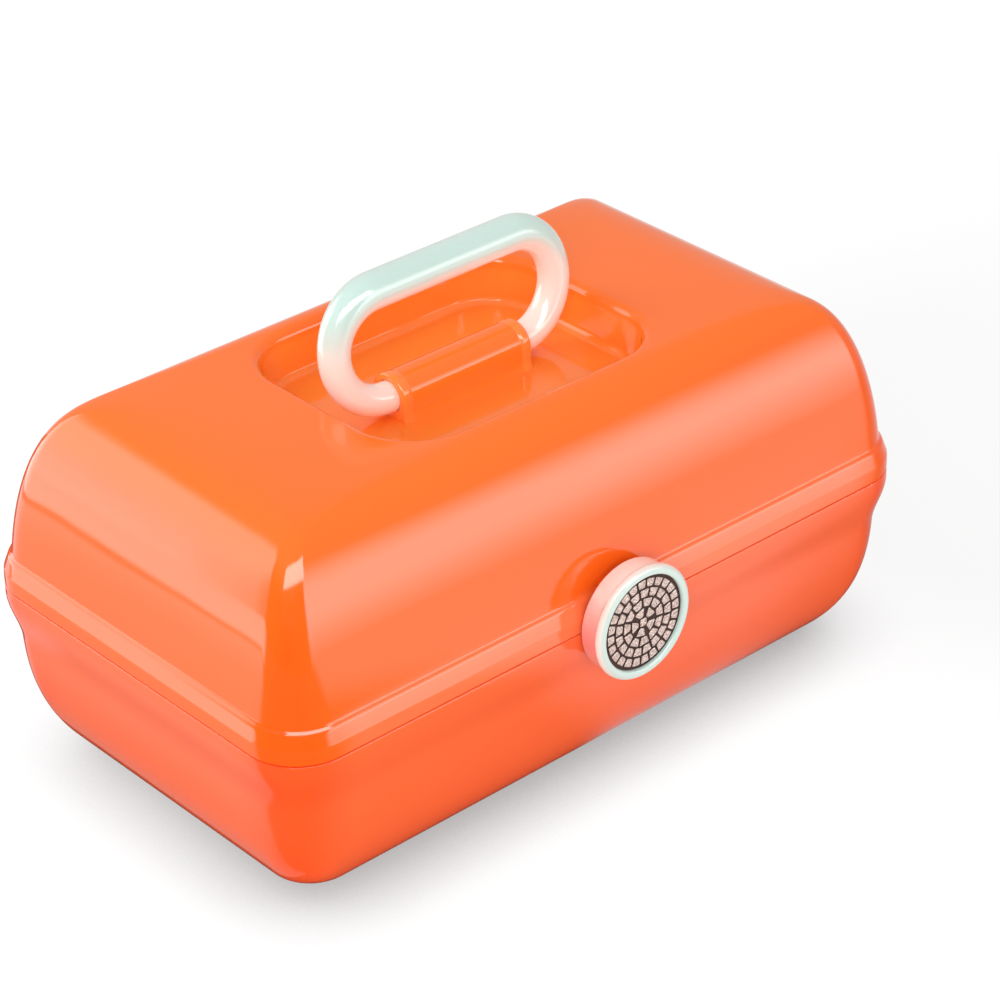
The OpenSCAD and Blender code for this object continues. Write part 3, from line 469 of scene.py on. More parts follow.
class Moulding:
    """A mesh that is gathered from closed forms."""

    def __init__(self):
        self.form = bmesh.new()

    def loft(self, rings, closed=False):
        """Join rings of equal length, capped at both ends or closed on themselves."""
        made = [[self.form.verts.new(p) for p in ring] for ring in rings]
        pairs = list(zip(made, made[1:]))
        if closed:
            pairs.append((made[-1], made[0]))
        for low, high in pairs:
            for i in range(len(low)):
                k = (i + 1) % len(low)
                self.form.faces.new((low[i], low[k], high[k], high[i]))
        if not closed:
            self.form.faces.new(made[0][::-1])
            self.form.faces.new(made[-1])

    def tiers(self, tiers):
        """Loft through tiers, each a half length, half depth, corner radius and height."""
        self.loft([[(x, y, tier[3]) for x, y in outline(*tier[:3])] for tier in tiers])

    def turn(self, profile, origin, axis, steps=64):
        """Turn a closed profile of radius and place along an axis through the origin."""
        along = Vector(axis)
        across = Vector((0, 0, 1)) if abs(along.z) < 0.5 else Vector((1, 0, 0))
        third = along.cross(across)
        start = Vector(origin)
        rings = []
        for i in range(steps):
            angle = 2 * pi * i / steps
            out = across * cos(angle) + third * sin(angle)
            rings.append([start + out * radius + along * place for radius, place in profile])
        self.loft(rings, closed=True)

    def prism(self, points, x0, x1, holes=(), edge=0.0):
        """A slab between x0 and x1 with an outline in Y and Z, with holes and rounded edges."""
        slab = bmesh.new()
        loops = [[Vector((0, *p)) for p in loop] for loop in (points, *holes)]
        flat = [p for loop in loops for p in loop]
        faces = tessellate_polygon(loops)
        sheets = []
        for x in (x0, x1):
            verts = [slab.verts.new((x, p.y, p.z)) for p in flat]
            for face in faces:
                slab.faces.new([verts[i] for i in face])
            sheets.append(verts)
        start = 0
        for loop in loops:
            size = len(loop)
            for i in range(size):
                a = start + i
                b = start + (i + 1) % size
                slab.faces.new((sheets[0][a], sheets[0][b], sheets[1][b], sheets[1][a]))
            start += size
        bmesh.ops.recalc_face_normals(slab, faces=slab.faces)
        bmesh.ops.dissolve_limit(slab, angle_limit=radians(1), verts=slab.verts, edges=slab.edges)
        if edge > 0:
            sharp = [e for e in slab.edges if e.calc_face_angle(0) > radians(40)]
            bmesh.ops.bevel(
                slab, geom=sharp, offset=edge, segments=2, profile=0.6, affect="EDGES",
                clamp_overlap=True
            )
        self.add(slab)

    def add(self, other):
        """Gather another form into this one."""
        mesh = bpy.data.meshes.new("gathered")
        other.to_mesh(mesh)
        other.free()
        self.form.from_mesh(mesh)
        bpy.data.meshes.remove(mesh)

    def mirrored(self):
        """Add the mirror image of everything so far, at the other end of the case."""
        copy = self.form.copy()
        bmesh.ops.scale(copy, vec=(-1, 1, 1), verts=copy.verts)
        bmesh.ops.reverse_faces(copy, faces=copy.faces)
        self.add(copy)

    def piece(self, name, body, material, nodes, crease=35):
        """Make the object, smooth but for its creases, and let it ride on its body."""
        bmesh.ops.remove_doubles(self.form, verts=self.form.verts, dist=WELD)
        bmesh.ops.dissolve_degenerate(self.form, edges=self.form.edges, dist=WELD / 10)
        bmesh.ops.recalc_face_normals(self.form, faces=self.form.faces)
        mesh = bpy.data.meshes.new(name)
        self.form.to_mesh(mesh)
        self.form.free()
        mesh.shade_smooth()
        mesh.set_sharp_from_angle(angle=radians(crease))
        mesh.materials.append(material)
        made = put(name, mesh)
        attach(made, body)
        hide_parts(*nodes)


def dress(material, *nodes):
    """Give carried nodes their material."""
    for node in nodes:
        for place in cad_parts[node].material_slots:
            place.material = material


# ---- finishes ----


def moulding_marks(paint, scuff):
    """Fine relief and gloss changes that every moulded part shows; returns the roughness."""
    sink = paint.noise(18, 2.0)
    paint.bump(sink, 0.12, 0.0015)
    grain = paint.noise(2600, 3.0, 0.6)
    paint.bump(grain, 0.05, 0.00004)
    hairlines = paint.scratches(90, 0.006, (0.3, 0.2, 0.7))
    crossing = paint.scratches(70, 0.005, (1.1, 0.5, -0.9))
    lines = (hairlines + crossing) * paint.noise(30, 1.0).smooth(0.45, 0.75)
    paint.bump(lines, 0.04 * scuff, 0.00002)
    clouds = paint.noise(55, 3.0, 0.6)
    return clouds * 0.05 + lines * 0.06 * scuff


def toward(place, span, far, close):
    """Zero further than far millimetres from the walls of a span, and one within close."""
    return abs(place).smooth(span / 2 - far * MM, span / 2 - close * MM)


def coral_finish(name, shade):
    """Glossy slightly clear coral plastic, with its colour given by the shade and its corners
    darkened as painted shade.
    """
    paint = Paint(name)
    rough = moulding_marks(paint, 1.0)
    streaks = paint.noise(1.0, 3.0, grain=(8, 8, 26))
    body = streaks.smooth(0.3, 0.8).mix(shade(paint), (0.995, 0.95, 0.88), "MULTIPLY")
    x, y, _ = paint.axes()
    # painted shade: the corners turn deeper, standing in for the dark studio they reflect
    corner = toward(x, sizes.case_length, 19, 8) * toward(y, sizes.case_depth, 20, 10)
    body = corner.mix(body, (1.0, 0.8, 0.62), "MULTIPLY")
    return paint.surface(Base_Color=body, Roughness=0.05 + rough, IOR=1.5, Specular_IOR_Level=0.45)


def lid_shade(paint):
    """Coral that is lighter at the top and in the recess as painted glow, where light shines
    through it, and lighter on the rim band's long sides as a painted reflection.
    """
    x, y, z = paint.axes()
    crest = sizes.case_height
    # painted glow: the recess is lighter where light shines through the plastic
    inside = 1 - toward(x, sizes.recess_length, 0, -4)
    inside *= 1 - toward(y, sizes.recess_depth, 0, -4)
    inside *= 1 - z.smooth(crest - 5 * MM, crest)
    # painted glow: the top is lighter where light shines through the plastic
    top = z.smooth(crest - 16 * MM, crest - 1 * MM)
    band_z = sizes.base_height + sizes.seam_gap + sizes.lid_band
    # painted reflection: the rim band is lighter on the long sides and not at the ends
    low = 1 - z.smooth(band_z - 2 * MM, band_z + 3 * MM)
    low *= 1 - toward(x, sizes.case_length, 26, 14)
    wall = low.mix(colours.lid_coral, colours.band_reflection_coral)
    return inside.mix(top.mix(wall, colours.top_glow_coral), colours.recess_glow_coral)


def base_shade(paint):
    """Coral that is a little darker toward the sole, with its corners darkened further as painted
    shade.
    """
    x, y, z = paint.axes()
    corner = toward(x, sizes.case_length, 26, 12) * toward(y, sizes.case_depth, 30, 14)
    body = z.smooth(0.0, sizes.base_height * 0.45).mix(colours.base_deep, colours.base_coral)
    # painted shade: the corners turn deeper, standing in for the dark they reflect
    return corner.mix(body, (1.0, 0.82, 0.7), "MULTIPLY")


def barrel_shade(paint):
    """Orange that turns to the recess's painted glow coral at the foot of the barrel, with a
    painted highlight on the collars.
    """
    floor_z = sizes.case_height - sizes.recess_drop
    x, _, z = paint.axes()
    high = z.smooth(floor_z - 2 * MM, floor_z + 12 * MM)
    body = high.mix(colours.recess_glow_coral, colours.barrel_orange)
    shoulder = handle_path(0)[0] - fittings.collar_width
    # painted highlight: the collars turn a lighter orange
    return (abs(x).smooth(shoulder - 0.3 * MM, shoulder) * 0.5).mix(body, colours.collar_highlight_orange)


def pearl_finish(name, cool, blush, warm):
    """Pearl plastic of the cool colour, and of the blush colour where the warm mask is one; the
    blush is the pearl's pink tint together with painted coral bounce light, and the outline gets a
    painted pale sheen.
    """
    paint = Paint(name)
    rough = moulding_marks(paint, 0.6)
    swirl = paint.noise(60, 2.0, 0.5, 0.8) - 0.5
    body = (warm(paint) + swirl * 0.25).smooth(0.0, 1.0).mix(cool, blush)
    # painted sheen: the outline of the part turns pale
    rim = paint.facing(0.5)
    body = (rim * rim * 0.6).mix(body, colours.pearl_rim_sheen)
    return paint.surface(
        Base_Color=body, Roughness=0.12 + rough, IOR=1.5, Coat_Weight=0.3, Coat_Roughness=0.05
    )


def handle_pink_and_bounce(paint):
    """Where the handle turns pink: one low on the handle and on its underside, zero on top of its
    grip. The pink is the pearl's tint together with painted light bounced up from the coral.
    """
    low = sizes.case_height - sizes.recess_drop
    high = paint.axes()[2].smooth(low + 10 * MM, low + fittings.handle_rise + 10 * MM)
    return 1 - high * paint.upward().smooth(-0.75, 0.35)


def cup_pink_and_bounce(paint):
    """One low on the latch's side and less toward its top, where the rose is the pearl's tint
    deepened by painted coral bounce light.
    """
    return 0.74 - 0.6 * paint.upward()


def latch_radius(paint):
    """The distance from the latch's middle line."""
    x, _, z = paint.axes()
    rise = z - latch_height()
    return (x * x + rise * rise) ** 0.5


def bezel_pink_and_bounce(paint):
    """Least on the face of the bezel and most toward its outer edge, where the pink is the pearl's
    tint together with painted coral bounce light.
    """
    outer = fittings.bezel_radius
    return 0.15 + latch_radius(paint).smooth(outer - 1.6 * MM, outer + 0.2 * MM) * 0.6


def satin_finish(name, tint, roughness):
    """Satin plastic for the parts inside the case."""
    paint = Paint(name)
    rough = moulding_marks(paint, 1.4)
    patches = paint.noise(35, 3.0, 0.6).smooth(0.35, 0.75)
    body = (patches * 0.5).mix(tint, [c * 0.93 for c in tint])
    return paint.surface(Base_Color=body, Roughness=roughness + rough, IOR=1.48)


def steel_finish(name, grain):
    """Bright steel with a drawn grain and light wear."""
    paint = Paint(name)
    drawn = paint.noise(1.0, 4.0, grain=grain)
    wear = paint.noise(160, 3.0, 0.7).smooth(0.45, 0.8)
    paint.bump(drawn, 0.12, 0.00004)
    body = wear.mix(colours.steel_grey, [c * 0.8 for c in colours.steel_grey])
    return paint.surface(Base_Color=body, Metallic=1.0, Roughness=0.22 + drawn * 0.14 + wear * 0.1)


def mirror_finish():
    """Silvered glass, with the faint haze and smears of use."""
    paint = Paint("mirror_silver")
    haze = paint.noise(28, 4.0, 0.65, 1.2).smooth(0.5, 0.85)
    specks = paint.noise(900, 1.0).smooth(0.74, 0.78)
    body = (specks * 0.5).mix(colours.mirror_silver, (0.6, 0.6, 0.6))
    return paint.surface(Base_Color=body, Metallic=1.0, Roughness=0.02 + haze * 0.03 + specks * 0.2)


def disc_finish():
    """Plain dark disc under the stones, with fine turning marks."""
    paint = Paint("disc_brown")
    marks_a_metre = 9000
    rings = paint.math("SINE", latch_radius(paint) * marks_a_metre)
    mottle = paint.noise(400, 3.0, 0.6).smooth(0.35, 0.75)
    paint.bump(rings, 0.1, 0.00002)
    lighter = [part * 2.2 for part in colours.disc_brown]
    body = mottle.mix(colours.disc_brown, lighter)
    return paint.surface(Base_Color=body, Roughness=0.45 + mottle * 0.12, Specular_IOR_Level=0.2)


def stone_finish():
    """Pale cut stones full of fine grains, with painted glints on the brightest grains and a
    painted shade at their foot.
    """
    paint = Paint("stone_glass")
    grains = paint.node(
        "ShaderNodeTexVoronoi", {"feature": "F1"},
        {"Vector": paint.stretched((1.0, 0.35, 1.0)), "Scale": 3600.0}, out="Color"
    )
    red, green, blue = paint.split("ShaderNodeSeparateColor", grains)
    body = red.smooth(0.05, 0.75).mix(colours.stone_dark, colours.stone_pale)
    # painted highlight: some grains turn to a bright glint
    body = (green.smooth(0.7, 0.95) * 0.8).mix(body, colours.stone_glint)
    paint.bump(blue, 0.25, 0.0001)
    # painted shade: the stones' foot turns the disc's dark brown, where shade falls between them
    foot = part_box("crystals")[1][1]
    foot_shade = paint.axes()[1].smooth(foot - 0.16 * MM, foot - 0.05 * MM)
    body = foot_shade.mix(body, colours.disc_brown)
    return paint.surface(Base_Color=body, Roughness=0.25 + red * 0.15, IOR=1.55)


# ---- operators ----


def lid_tier(t, inset):
    """One tier of the wall and dome at height share t."""
    seam = sizes.base_height + sizes.seam_gap
    crest_x = sizes.recess_length / 2 + sizes.recess_lip
    crest_y = sizes.recess_depth / 2 + sizes.recess_lip
    crest_corner = sizes.recess_corner + sizes.recess_lip
    wall_x = sizes.case_length / 2 - sizes.lid_step - inset
    wall_y = sizes.case_depth / 2 - sizes.lid_step - inset
    late = t**60  # one only at the very top, where the corner opens out to the recess
    corner = sizes.rim_corner + (sizes.lid_top_corner - sizes.rim_corner) * t
    corner += (crest_corner - sizes.lid_top_corner) * late
    return (
        crest_x + (wall_x - crest_x) * lean(t, sizes.end_curve, sizes.end_shoulder),
        crest_y + (wall_y - crest_y) * lean(t, sizes.front_curve, sizes.front_shoulder),
        max(corner - inset * (1 - late), 2 * MM), seam + (sizes.case_height - seam - inset) * t
    )


def recess_tier(out, z):
    """One tier around the recess, grown from the floor outline by out."""
    grow = out - sizes.recess_draft
    return (
        sizes.recess_length / 2 + grow, sizes.recess_depth / 2 + grow, sizes.recess_corner + grow, z
    )


def rounding(angles, place):
    """Tiers around a rounded edge, placed by one less the sine and cosine of each angle."""
    turns = [radians(a) for a in angles]
    return [recess_tier(*place(1 - sin(t), 1 - cos(t))) for t in turns]


def closing_up(first, steps, power):
    """Height shares from the first to one, closer together near the crest."""
    return [first + (1 - first) * (1 - (1 - i / steps) ** power) for i in range(steps + 1)]


def lid_skin(lid):
    """The moulded skin, from the recess underside around the rim to the recess floor."""
    seam = sizes.base_height + sizes.seam_gap
    rise = sizes.case_height - seam
    crest = sizes.case_height
    wall = sizes.wall
    lip = sizes.recess_lip
    draft = sizes.recess_draft
    fillet = sizes.floor_fillet
    floor_z = crest - sizes.recess_drop
    under_z = floor_z - wall
    widest_z = seam + sizes.lid_band * 0.28
    bead_z = seam + sizes.lid_band * 0.55
    band_z = seam + sizes.lid_band
    bead_inset = sizes.band_lean * (bead_z - widest_z) / (band_z - widest_z)
    inner = closing_up(sizes.lid_band / rise * 0.8, 20, 2.6)[:-1]
    outer = closing_up(sizes.lid_band / rise * 1.08, 54, 3.2)
    under = [
        recess_tier(wall - fillet - FLAT_SPAN, under_z),
        recess_tier(wall - fillet - BLEND_IN, under_z)
    ]
    under += rounding(
        range(0, 91, 15), lambda sine, cosine: (wall - fillet * sine, under_z + fillet * cosine)
    )
    under.append(recess_tier(wall + draft, crest - wall - lip))
    under.append(recess_tier(wall + draft + lip * 0.6, crest - wall - lip * 0.25))
    inside = [lid_tier(t, wall) for t in reversed(inner)]
    rim = [
        (wall, seam + sizes.tongue_height + 2 * MM), (wall, seam), (0.25 * MM, seam),
        (0.0, seam + 0.3 * MM), (0.0, widest_z), (bead_inset - sizes.band_bead, bead_z - 0.5 * MM),
        (bead_inset, bead_z), (sizes.lid_step, band_z - 0.3 * MM)
    ]
    feet = [lid_tier(outer[0], 0.0), lid_tier(outer[2], 0.0)]
    rim = [inside[-1], *(rim_tier(*place) for place in rim), *feet]
    rim = soften(rim, 0.7 * MM, 4)[1:-1]
    dome = [lid_tier(t, 0.0) for t in outer[1:]]
    edge = rounding(
        range(8, 81, 8), lambda sine, cosine: (draft + lip * sine, crest - lip * cosine)
    )
    edge.append(recess_tier(draft * 0.97, crest - lip * 1.05))
    edge.append(recess_tier(draft * 0.95, crest - lip * 1.3))
    edge += rounding(
        range(0, 91, 10), lambda sine, cosine: (-fillet * cosine, floor_z + fillet * sine)
    )
    edge.append(recess_tier(-fillet - BLEND_IN, floor_z))
    edge.append(recess_tier(-fillet - 12 * MM, floor_z))
    lid.tiers(under + inside + rim + dome + edge)


def latch_ears(lid):
    """The ear at this end of the latch pin."""
    y, z = latch_pivot()
    radius = fittings.ear_radius
    root = -(sizes.case_depth / 2 - sizes.lid_step - sizes.wall * 0.7)
    inner = fittings.block_width / 2 + fittings.side_gap / 2
    shape = arc((y, z), radius, 90, 270, 20) + [(root, z - radius), (root, z + radius)]
    hole = bore_hole((y, z), fittings.latch_pin)
    lid.prism(shape, inner, inner + fittings.ear_width, [hole], 0.2 * MM)


def bracket_pegs(lid):
    """The pegs on this end wall that carry the tray bracket."""
    low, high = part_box("lid_bracket_right")
    radius = 1.6 * MM
    inset = 6 * MM
    end = high[0] + 1.2 * MM
    profile = [(0, low[0]), (radius, low[0]), (radius, end), (0, end)]
    for y in (low[1] + inset, high[1] - inset):
        lid.turn(profile, (0, y, high[2] - 5.5 * MM), (1, 0, 0), 24)


def mirror_bosses(lid):
    """The bosses under the recess that take the mirror's screws."""
    low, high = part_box("mirror_screws")
    head = 2.4 * MM
    hole = 1.1 * MM
    outer = 3.6 * MM
    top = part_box("mirror_frame")[1][2]
    drop = 1.8 * MM + sizes.wall / 2
    profile = [(hole, 0), (outer, 0), (outer, drop), (hole, drop)]
    for x in (low[0] + head, high[0] - head):
        for y in (low[1] + head, high[1] - head):
            lid.turn(profile, (x, y, top), (0, 0, 1), 32)


class CASE_OT_lid(bpy.types.Operator):
    """Make the domed lid with its recess, hinge knuckles, latch ears, pegs and bosses."""

    bl_idname = "makeup_case.lid"
    bl_label = "Make the lid"

    def execute(self, context):
        lid = Moulding()
        rim_y = sizes.case_depth / 2
        seam = sizes.base_height + sizes.seam_gap
        web_top = seam + fittings.knuckle_web
        knuckles(lid, 1, [
            (rim_y, web_top), (rim_y - sizes.wall * 0.6, web_top),
            (rim_y - sizes.wall * 0.6, seam),
        ], start=178, end=405)
        latch_ears(lid)
        bracket_pegs(lid)
        lid.mirrored()
        lid_skin(lid)
        mirror_bosses(lid)
        finish = coral_finish("lid_coral", lid_shade)
        lid.piece("lid_moulding", "lid", finish, ["lid_shell"])
        return {"FINISHED"}


def barrel_ring(x, radius, z, floor_z):
    """One ring of the barrel: a half round over straight sides down to the floor."""
    turns = [pi * i / BARREL_STEPS for i in range(BARREL_STEPS + 1)]
    half = [(radius * cos(a), z + radius * sin(a)) for a in turns]
    foot = [(1.2, -1.0), (0.9, 0.2), (0.25, 1.1), (0.0, 2.6)]
    drop = [(radius + out * MM, floor_z + up * MM) for out, up in foot]
    rise = [(-y, height) for y, height in reversed(drop)]
    return [(x, y, height) for y, height in drop + half + rise]


def bore_ring(x, radius, z):
    """One ring of the bore, with as many points as a ring of the barrel."""
    return [(x, y, height) for y, height in arc((0, z), radius, -45, 225, BARREL_STEPS + 8)]


class CASE_OT_barrel(bpy.types.Operator):
    """Make the barrel on the recess floor that takes the handle's ends."""

    bl_idname = "makeup_case.barrel"
    bl_label = "Make the handle barrel"

    def execute(self, context):
        floor_z = sizes.case_height - sizes.recess_drop
        z = floor_z + fittings.handle_floor_gap + fittings.handle_bar / 2
        bore = fittings.handle_bar / 2 + fittings.pin_gap
        body = bore + fittings.barrel_wall
        collar = body + fittings.collar_step * 0.5
        end = handle_path(0)[0]
        shoulder = end - fittings.collar_width
        blind = end - fittings.handle_end - fittings.side_gap
        half = [
            (shoulder - 0.5 * MM, body), (shoulder - 0.12 * MM, body),
            (shoulder, collar - 0.12 * MM), (shoulder + 0.2 * MM, collar), (end - 0.7 * MM, collar),
            (end - 0.35 * MM, collar - 0.08 * MM), (end - 0.1 * MM, collar - 0.3 * MM),
            (end, collar - 0.65 * MM)
        ]
        rings = [bore_ring(-blind, bore, z), bore_ring(0.4 * MM - end, bore, z)]
        rings.append(bore_ring(-end, bore + 0.4 * MM, z))
        rings += [barrel_ring(-x, radius, z, floor_z) for x, radius in reversed(half)]
        rings += [barrel_ring(x * shoulder / 6, body, z, floor_z) for x in (-5, -3, -1, 1, 3, 5)]
        rings += [barrel_ring(x, radius, z, floor_z) for x, radius in half]
        rings.append(bore_ring(end, bore + 0.4 * MM, z))
        rings += [bore_ring(end - 0.4 * MM, bore, z), bore_ring(blind, bore, z)]
        barrel = Moulding()
        barrel.loft(rings)
        finish = coral_finish("barrel_orange", barrel_shade)
        barrel.piece("handle_barrel", "lid", finish, ["lid_shell"])
        return {"FINISHED"}


def base_tier(s, inset):
    """One tier of the wall at depth share s below the seam."""
    share = lean(s, sizes.base_curve, sizes.base_turn)
    sole_x = sizes.sole_length / 2
    sole_y = sizes.sole_depth / 2
    wall_x = sizes.case_length / 2 - sizes.base_step - inset
    wall_y = sizes.case_depth / 2 - sizes.base_step - inset
    corner = sizes.rim_corner + (sizes.sole_corner - sizes.rim_corner) * s
    rise = sizes.base_height - sizes.sole_height - inset
    return (
        sole_x + (wall_x - sole_x) * share, sole_y + (wall_y - sole_y) * share,
        corner - inset * (1 - s), sizes.base_height - rise * s
    )


def swell_tier(t):
    """One tier of the soft swell from the wall, at 0, out to the rim band, at 1."""
    z = sizes.base_height - sizes.base_band - SWELL_FOOT + (SWELL_FOOT + SWELL_TOP) * t
    share = (sizes.base_height - z) / (sizes.base_height - sizes.sole_height)
    x, y, corner, _ = base_tier(share, 0.0)
    grow = sizes.base_step * (1 - cos(pi * t)) / 2
    return (x + grow, y + grow, corner, z)


def closing_in(last, steps):
    """Depth shares from one to the last, closer together near the sole."""
    return [1 - (1 - last) * (i / steps) ** 2.2 for i in range(steps + 1)]


def base_skin(base):
    """The moulded skin, from the sole up the outside, over the tongue and down inside."""
    height = sizes.base_height
    wall = sizes.wall
    rise = height - sizes.sole_height
    outer_last = (sizes.base_band + SWELL_FOOT + 0.5 * MM) / rise
    outer = closing_in(outer_last, 44)
    inner = closing_in(sizes.base_band / rise * 0.9, 18)
    sole = (sizes.sole_length / 2, sizes.sole_depth / 2, sizes.sole_corner)
    inset = [(0.5, 0.0), (0.15, 0.15), (0.0, 0.5), (0.0, 1.0)]
    pad = [(sole[0] - FLAT_SPAN, sole[1] - FLAT_SPAN, 2 * MM, 0.0)]
    pad += [(sole[0] - d * MM, sole[1] - d * MM, sole[2] - d * MM, z * MM) for d, z in inset]
    outside = [base_tier(s, 0.0) for s in outer[1:]]
    tongue_out = wall + sizes.tongue_gap
    tongue_in = tongue_out + sizes.tongue_thickness
    top = height + sizes.tongue_height
    swell_steps = 20
    swell = [swell_tier(i / swell_steps) for i in range(swell_steps)]
    rim = [
        (0.0, height - sizes.base_band + SWELL_TOP), (0.0, height - 0.3 * MM), (0.25 * MM, height),
        (tongue_out, height), (tongue_out, top - 0.6 * MM), (tongue_out + 0.4 * MM, top),
        (tongue_in - 0.3 * MM, top), (tongue_in, height - 1 * MM)
    ]
    inside = [base_tier(s, wall) for s in reversed(inner)]
    rim = [outside[-1], *swell, *(rim_tier(*place) for place in rim), inside[0]]
    rim = soften(rim, 0.6 * MM)[1:-1]
    floor = inside[-1]
    middle = [
        (floor[0] - BLEND_IN, floor[1] - BLEND_IN, floor[2] - BLEND_IN, floor[3]),
        (floor[0] - FLAT_SPAN, floor[1] - FLAT_SPAN, 2 * MM, floor[3])
    ]
    base.tiers(pad + outside + rim + inside + middle)


def keeper(base):
    """The block on the rim that the latch's hook catches under."""
    rim_y = sizes.case_depth / 2
    root = -(rim_y - sizes.base_step - sizes.wall * 0.4)
    tip = -(rim_y + fittings.keeper_reach)
    z = sizes.base_height - fittings.keeper_drop
    top = z + 4.6 * MM
    shape = [(root, z), (root, top), (-rim_y - 0.4 * MM, top), (tip, z + 1.4 * MM), (tip, z)]
    half = fittings.hook_width / 2 + 1 * MM
    base.prism(shape, -half, half, edge=0.25 * MM)


def arm_boss(base):
    """The boss on this end wall that carries a link arm."""
    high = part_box("link_arm_right")[1]
    rivet_low, rivet_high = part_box("arm_base_rivets")
    centre = ((rivet_low[1] + rivet_high[1]) / 2, (rivet_low[2] + rivet_high[2]) / 2)
    start = high[0] + fittings.side_gap
    end = sizes.case_length / 2 - sizes.base_step - sizes.wall / 2
    hole = 1.6 * MM
    outer = 4 * MM
    profile = soften([(hole, end), (hole, start), (outer, start), (outer, end)], 0.2 * MM)
    base.turn([tuple(p) for p in profile], (0, *centre), (1, 0, 0), 40)


class CASE_OT_base(bpy.types.Operator):
    """Make the base with its sole, rim band, locating tongue, keeper and hinge knuckles."""

    bl_idname = "makeup_case.base"
    bl_label = "Make the base"

    def execute(self, context):
        base = Moulding()
        rim_y = sizes.case_depth / 2
        top = sizes.base_height
        web_low = top - fittings.knuckle_web
        knuckles(base, 0, [
            (rim_y - sizes.wall * 0.6, top), (rim_y - sizes.wall * 0.6, web_low),
            (rim_y, web_low),
        ], start=-45, end=182)
        arm_boss(base)
        base.mirrored()
        base_skin(base)
        keeper(base)
        finish = coral_finish("base_coral", base_shade)
        base.piece("base_moulding", "base", finish, ["base_shell"])
        return {"FINISHED"}


def rim_tier(inset, z):
    """A tier of the rim bands, set in from the widest outline."""
    return (
        sizes.case_length / 2 - inset, sizes.case_depth / 2 - inset, sizes.rim_corner - inset, z
    )


def knuckles(shell, first, web, start, end):
    """The knuckles of one hinge that belong to a shell, each with its web."""
    y = sizes.case_depth / 2 + fittings.side_gap + fittings.knuckle_radius
    z = sizes.base_height + sizes.seam_gap / 2
    step = (fittings.hinge_length + fittings.side_gap) / fittings.knuckle_count
    left = (fittings.hinge_spacing - fittings.hinge_length) / 2
    shape = arc((y, z), fittings.knuckle_radius, start, end, 36) + web
    hole = bore_hole((y, z), fittings.hinge_pin)
    for k in range(first, fittings.knuckle_count, 2):
        x = left + k * step
        shell.prism(shape, x, x + step - fittings.side_gap, [hole], 0.25 * MM)


def latch_height():
    """The height of the latch's middle."""
    return sizes.base_height + fittings.latch_rise


def latch_pivot():
    """The latch pin's place in Y and Z."""
    y = latch_face() + LATCH_PLATE + fittings.ear_radius + 2 * fittings.pin_gap
    return y, latch_height() + fittings.latch_pivot_rise


def latch_face():
    """The place in Y of the latch body's front face, behind the bezel."""
    back = -sizes.case_depth / 2 - fittings.latch_standoff
    return back - fittings.latch_depth + fittings.bezel_thickness + fittings.seat_gap


def handle_path(steps):
    """The barrel's end and the points and directions along the right half of the handle."""
    x = sizes.recess_length / 2 - fittings.handle_side_gap - fittings.handle_bar / 2
    z = sizes.case_height - sizes.recess_drop
    z += fittings.handle_floor_gap + fittings.handle_bar / 2
    low_bend = fittings.handle_rise - fittings.handle_bend
    end = x - low_bend - fittings.side_gap
    if not steps:
        return end, []
    leg = fittings.handle_bar / 2
    grip = fittings.handle_grip / 2
    path = [(end - fittings.handle_end, z, 0.0, leg), (end, z, 0.0, leg)]
    for i in range(steps + 1):
        turn = pi / 2 * i / steps
        across = x - low_bend + low_bend * sin(turn)
        path.append((across, z + low_bend * (1 - cos(turn)), turn, leg))
    high = z + low_bend
    for i in range(1, steps + 1):
        turn = pi / 2 * i / steps
        across = x - fittings.handle_bend * (1 - cos(turn))
        rise = high + fittings.handle_bend * sin(turn)
        swell = (1 - cos(2 * turn)) / 2
        path.append((across, rise, pi / 2 + turn, leg + (grip - leg) * swell))
    return end, path


def hoop(x, z, turn, radius):
    """A ring of points square to the handle's path, which heads along turn."""
    side = Vector((sin(turn), 0, -cos(turn)))
    depth = Vector((0, 1, 0))
    centre = Vector((x, 0, z))
    turns = [2 * pi * i / HOOP_STEPS for i in range(HOOP_STEPS)]
    shrink = 0.99  # keeps the bar just inside the solid's box
    return [centre + (side * cos(a) + depth * sin(a)) * radius * shrink for a in turns]


class CASE_OT_handle(bpy.types.Operator):
    """Make the pearl loop handle."""

    bl_idname = "makeup_case.handle"
    bl_label = "Make the handle"

    def execute(self, context):
        right = handle_path(22)[1]
        left = [(-x, z, 2 * pi - turn, radius) for x, z, turn, radius in reversed(right)]
        last = right[-1]
        middle = [(last[0] * s, last[1], pi, last[3]) for s in (0.75, 0.35, -0.35, -0.75)]
        path = right + middle + left
        ends = ((0.0, 0.6), (0.12, 0.9), (0.6, 1.0))
        x, z, turn, radius = path[0]
        rings = [hoop(x + reach * MM, z, turn, radius * share) for reach, share in ends]
        rings += [hoop(*stop) for stop in path[1:-1]]
        x, z, turn, radius = path[-1]
        rings += [hoop(x - reach * MM, z, turn, radius * share) for reach, share in reversed(ends)]
        axis_z = path[0][1]
        tilt = Matrix.Rotation(-radians(fittings.handle_lean), 3, "X")
        handle = Moulding()
        handle.loft(rings)
        bmesh.ops.rotate(handle.form, cent=(0, 0, axis_z), matrix=tilt, verts=handle.form.verts)
        finish = pearl_finish("pearl_handle", colours.pearl_mint, colours.pearl_pink, handle_pink_and_bounce)
        handle.piece("loop_handle", "handle", finish, ["handle"])
        return {"FINISHED"}


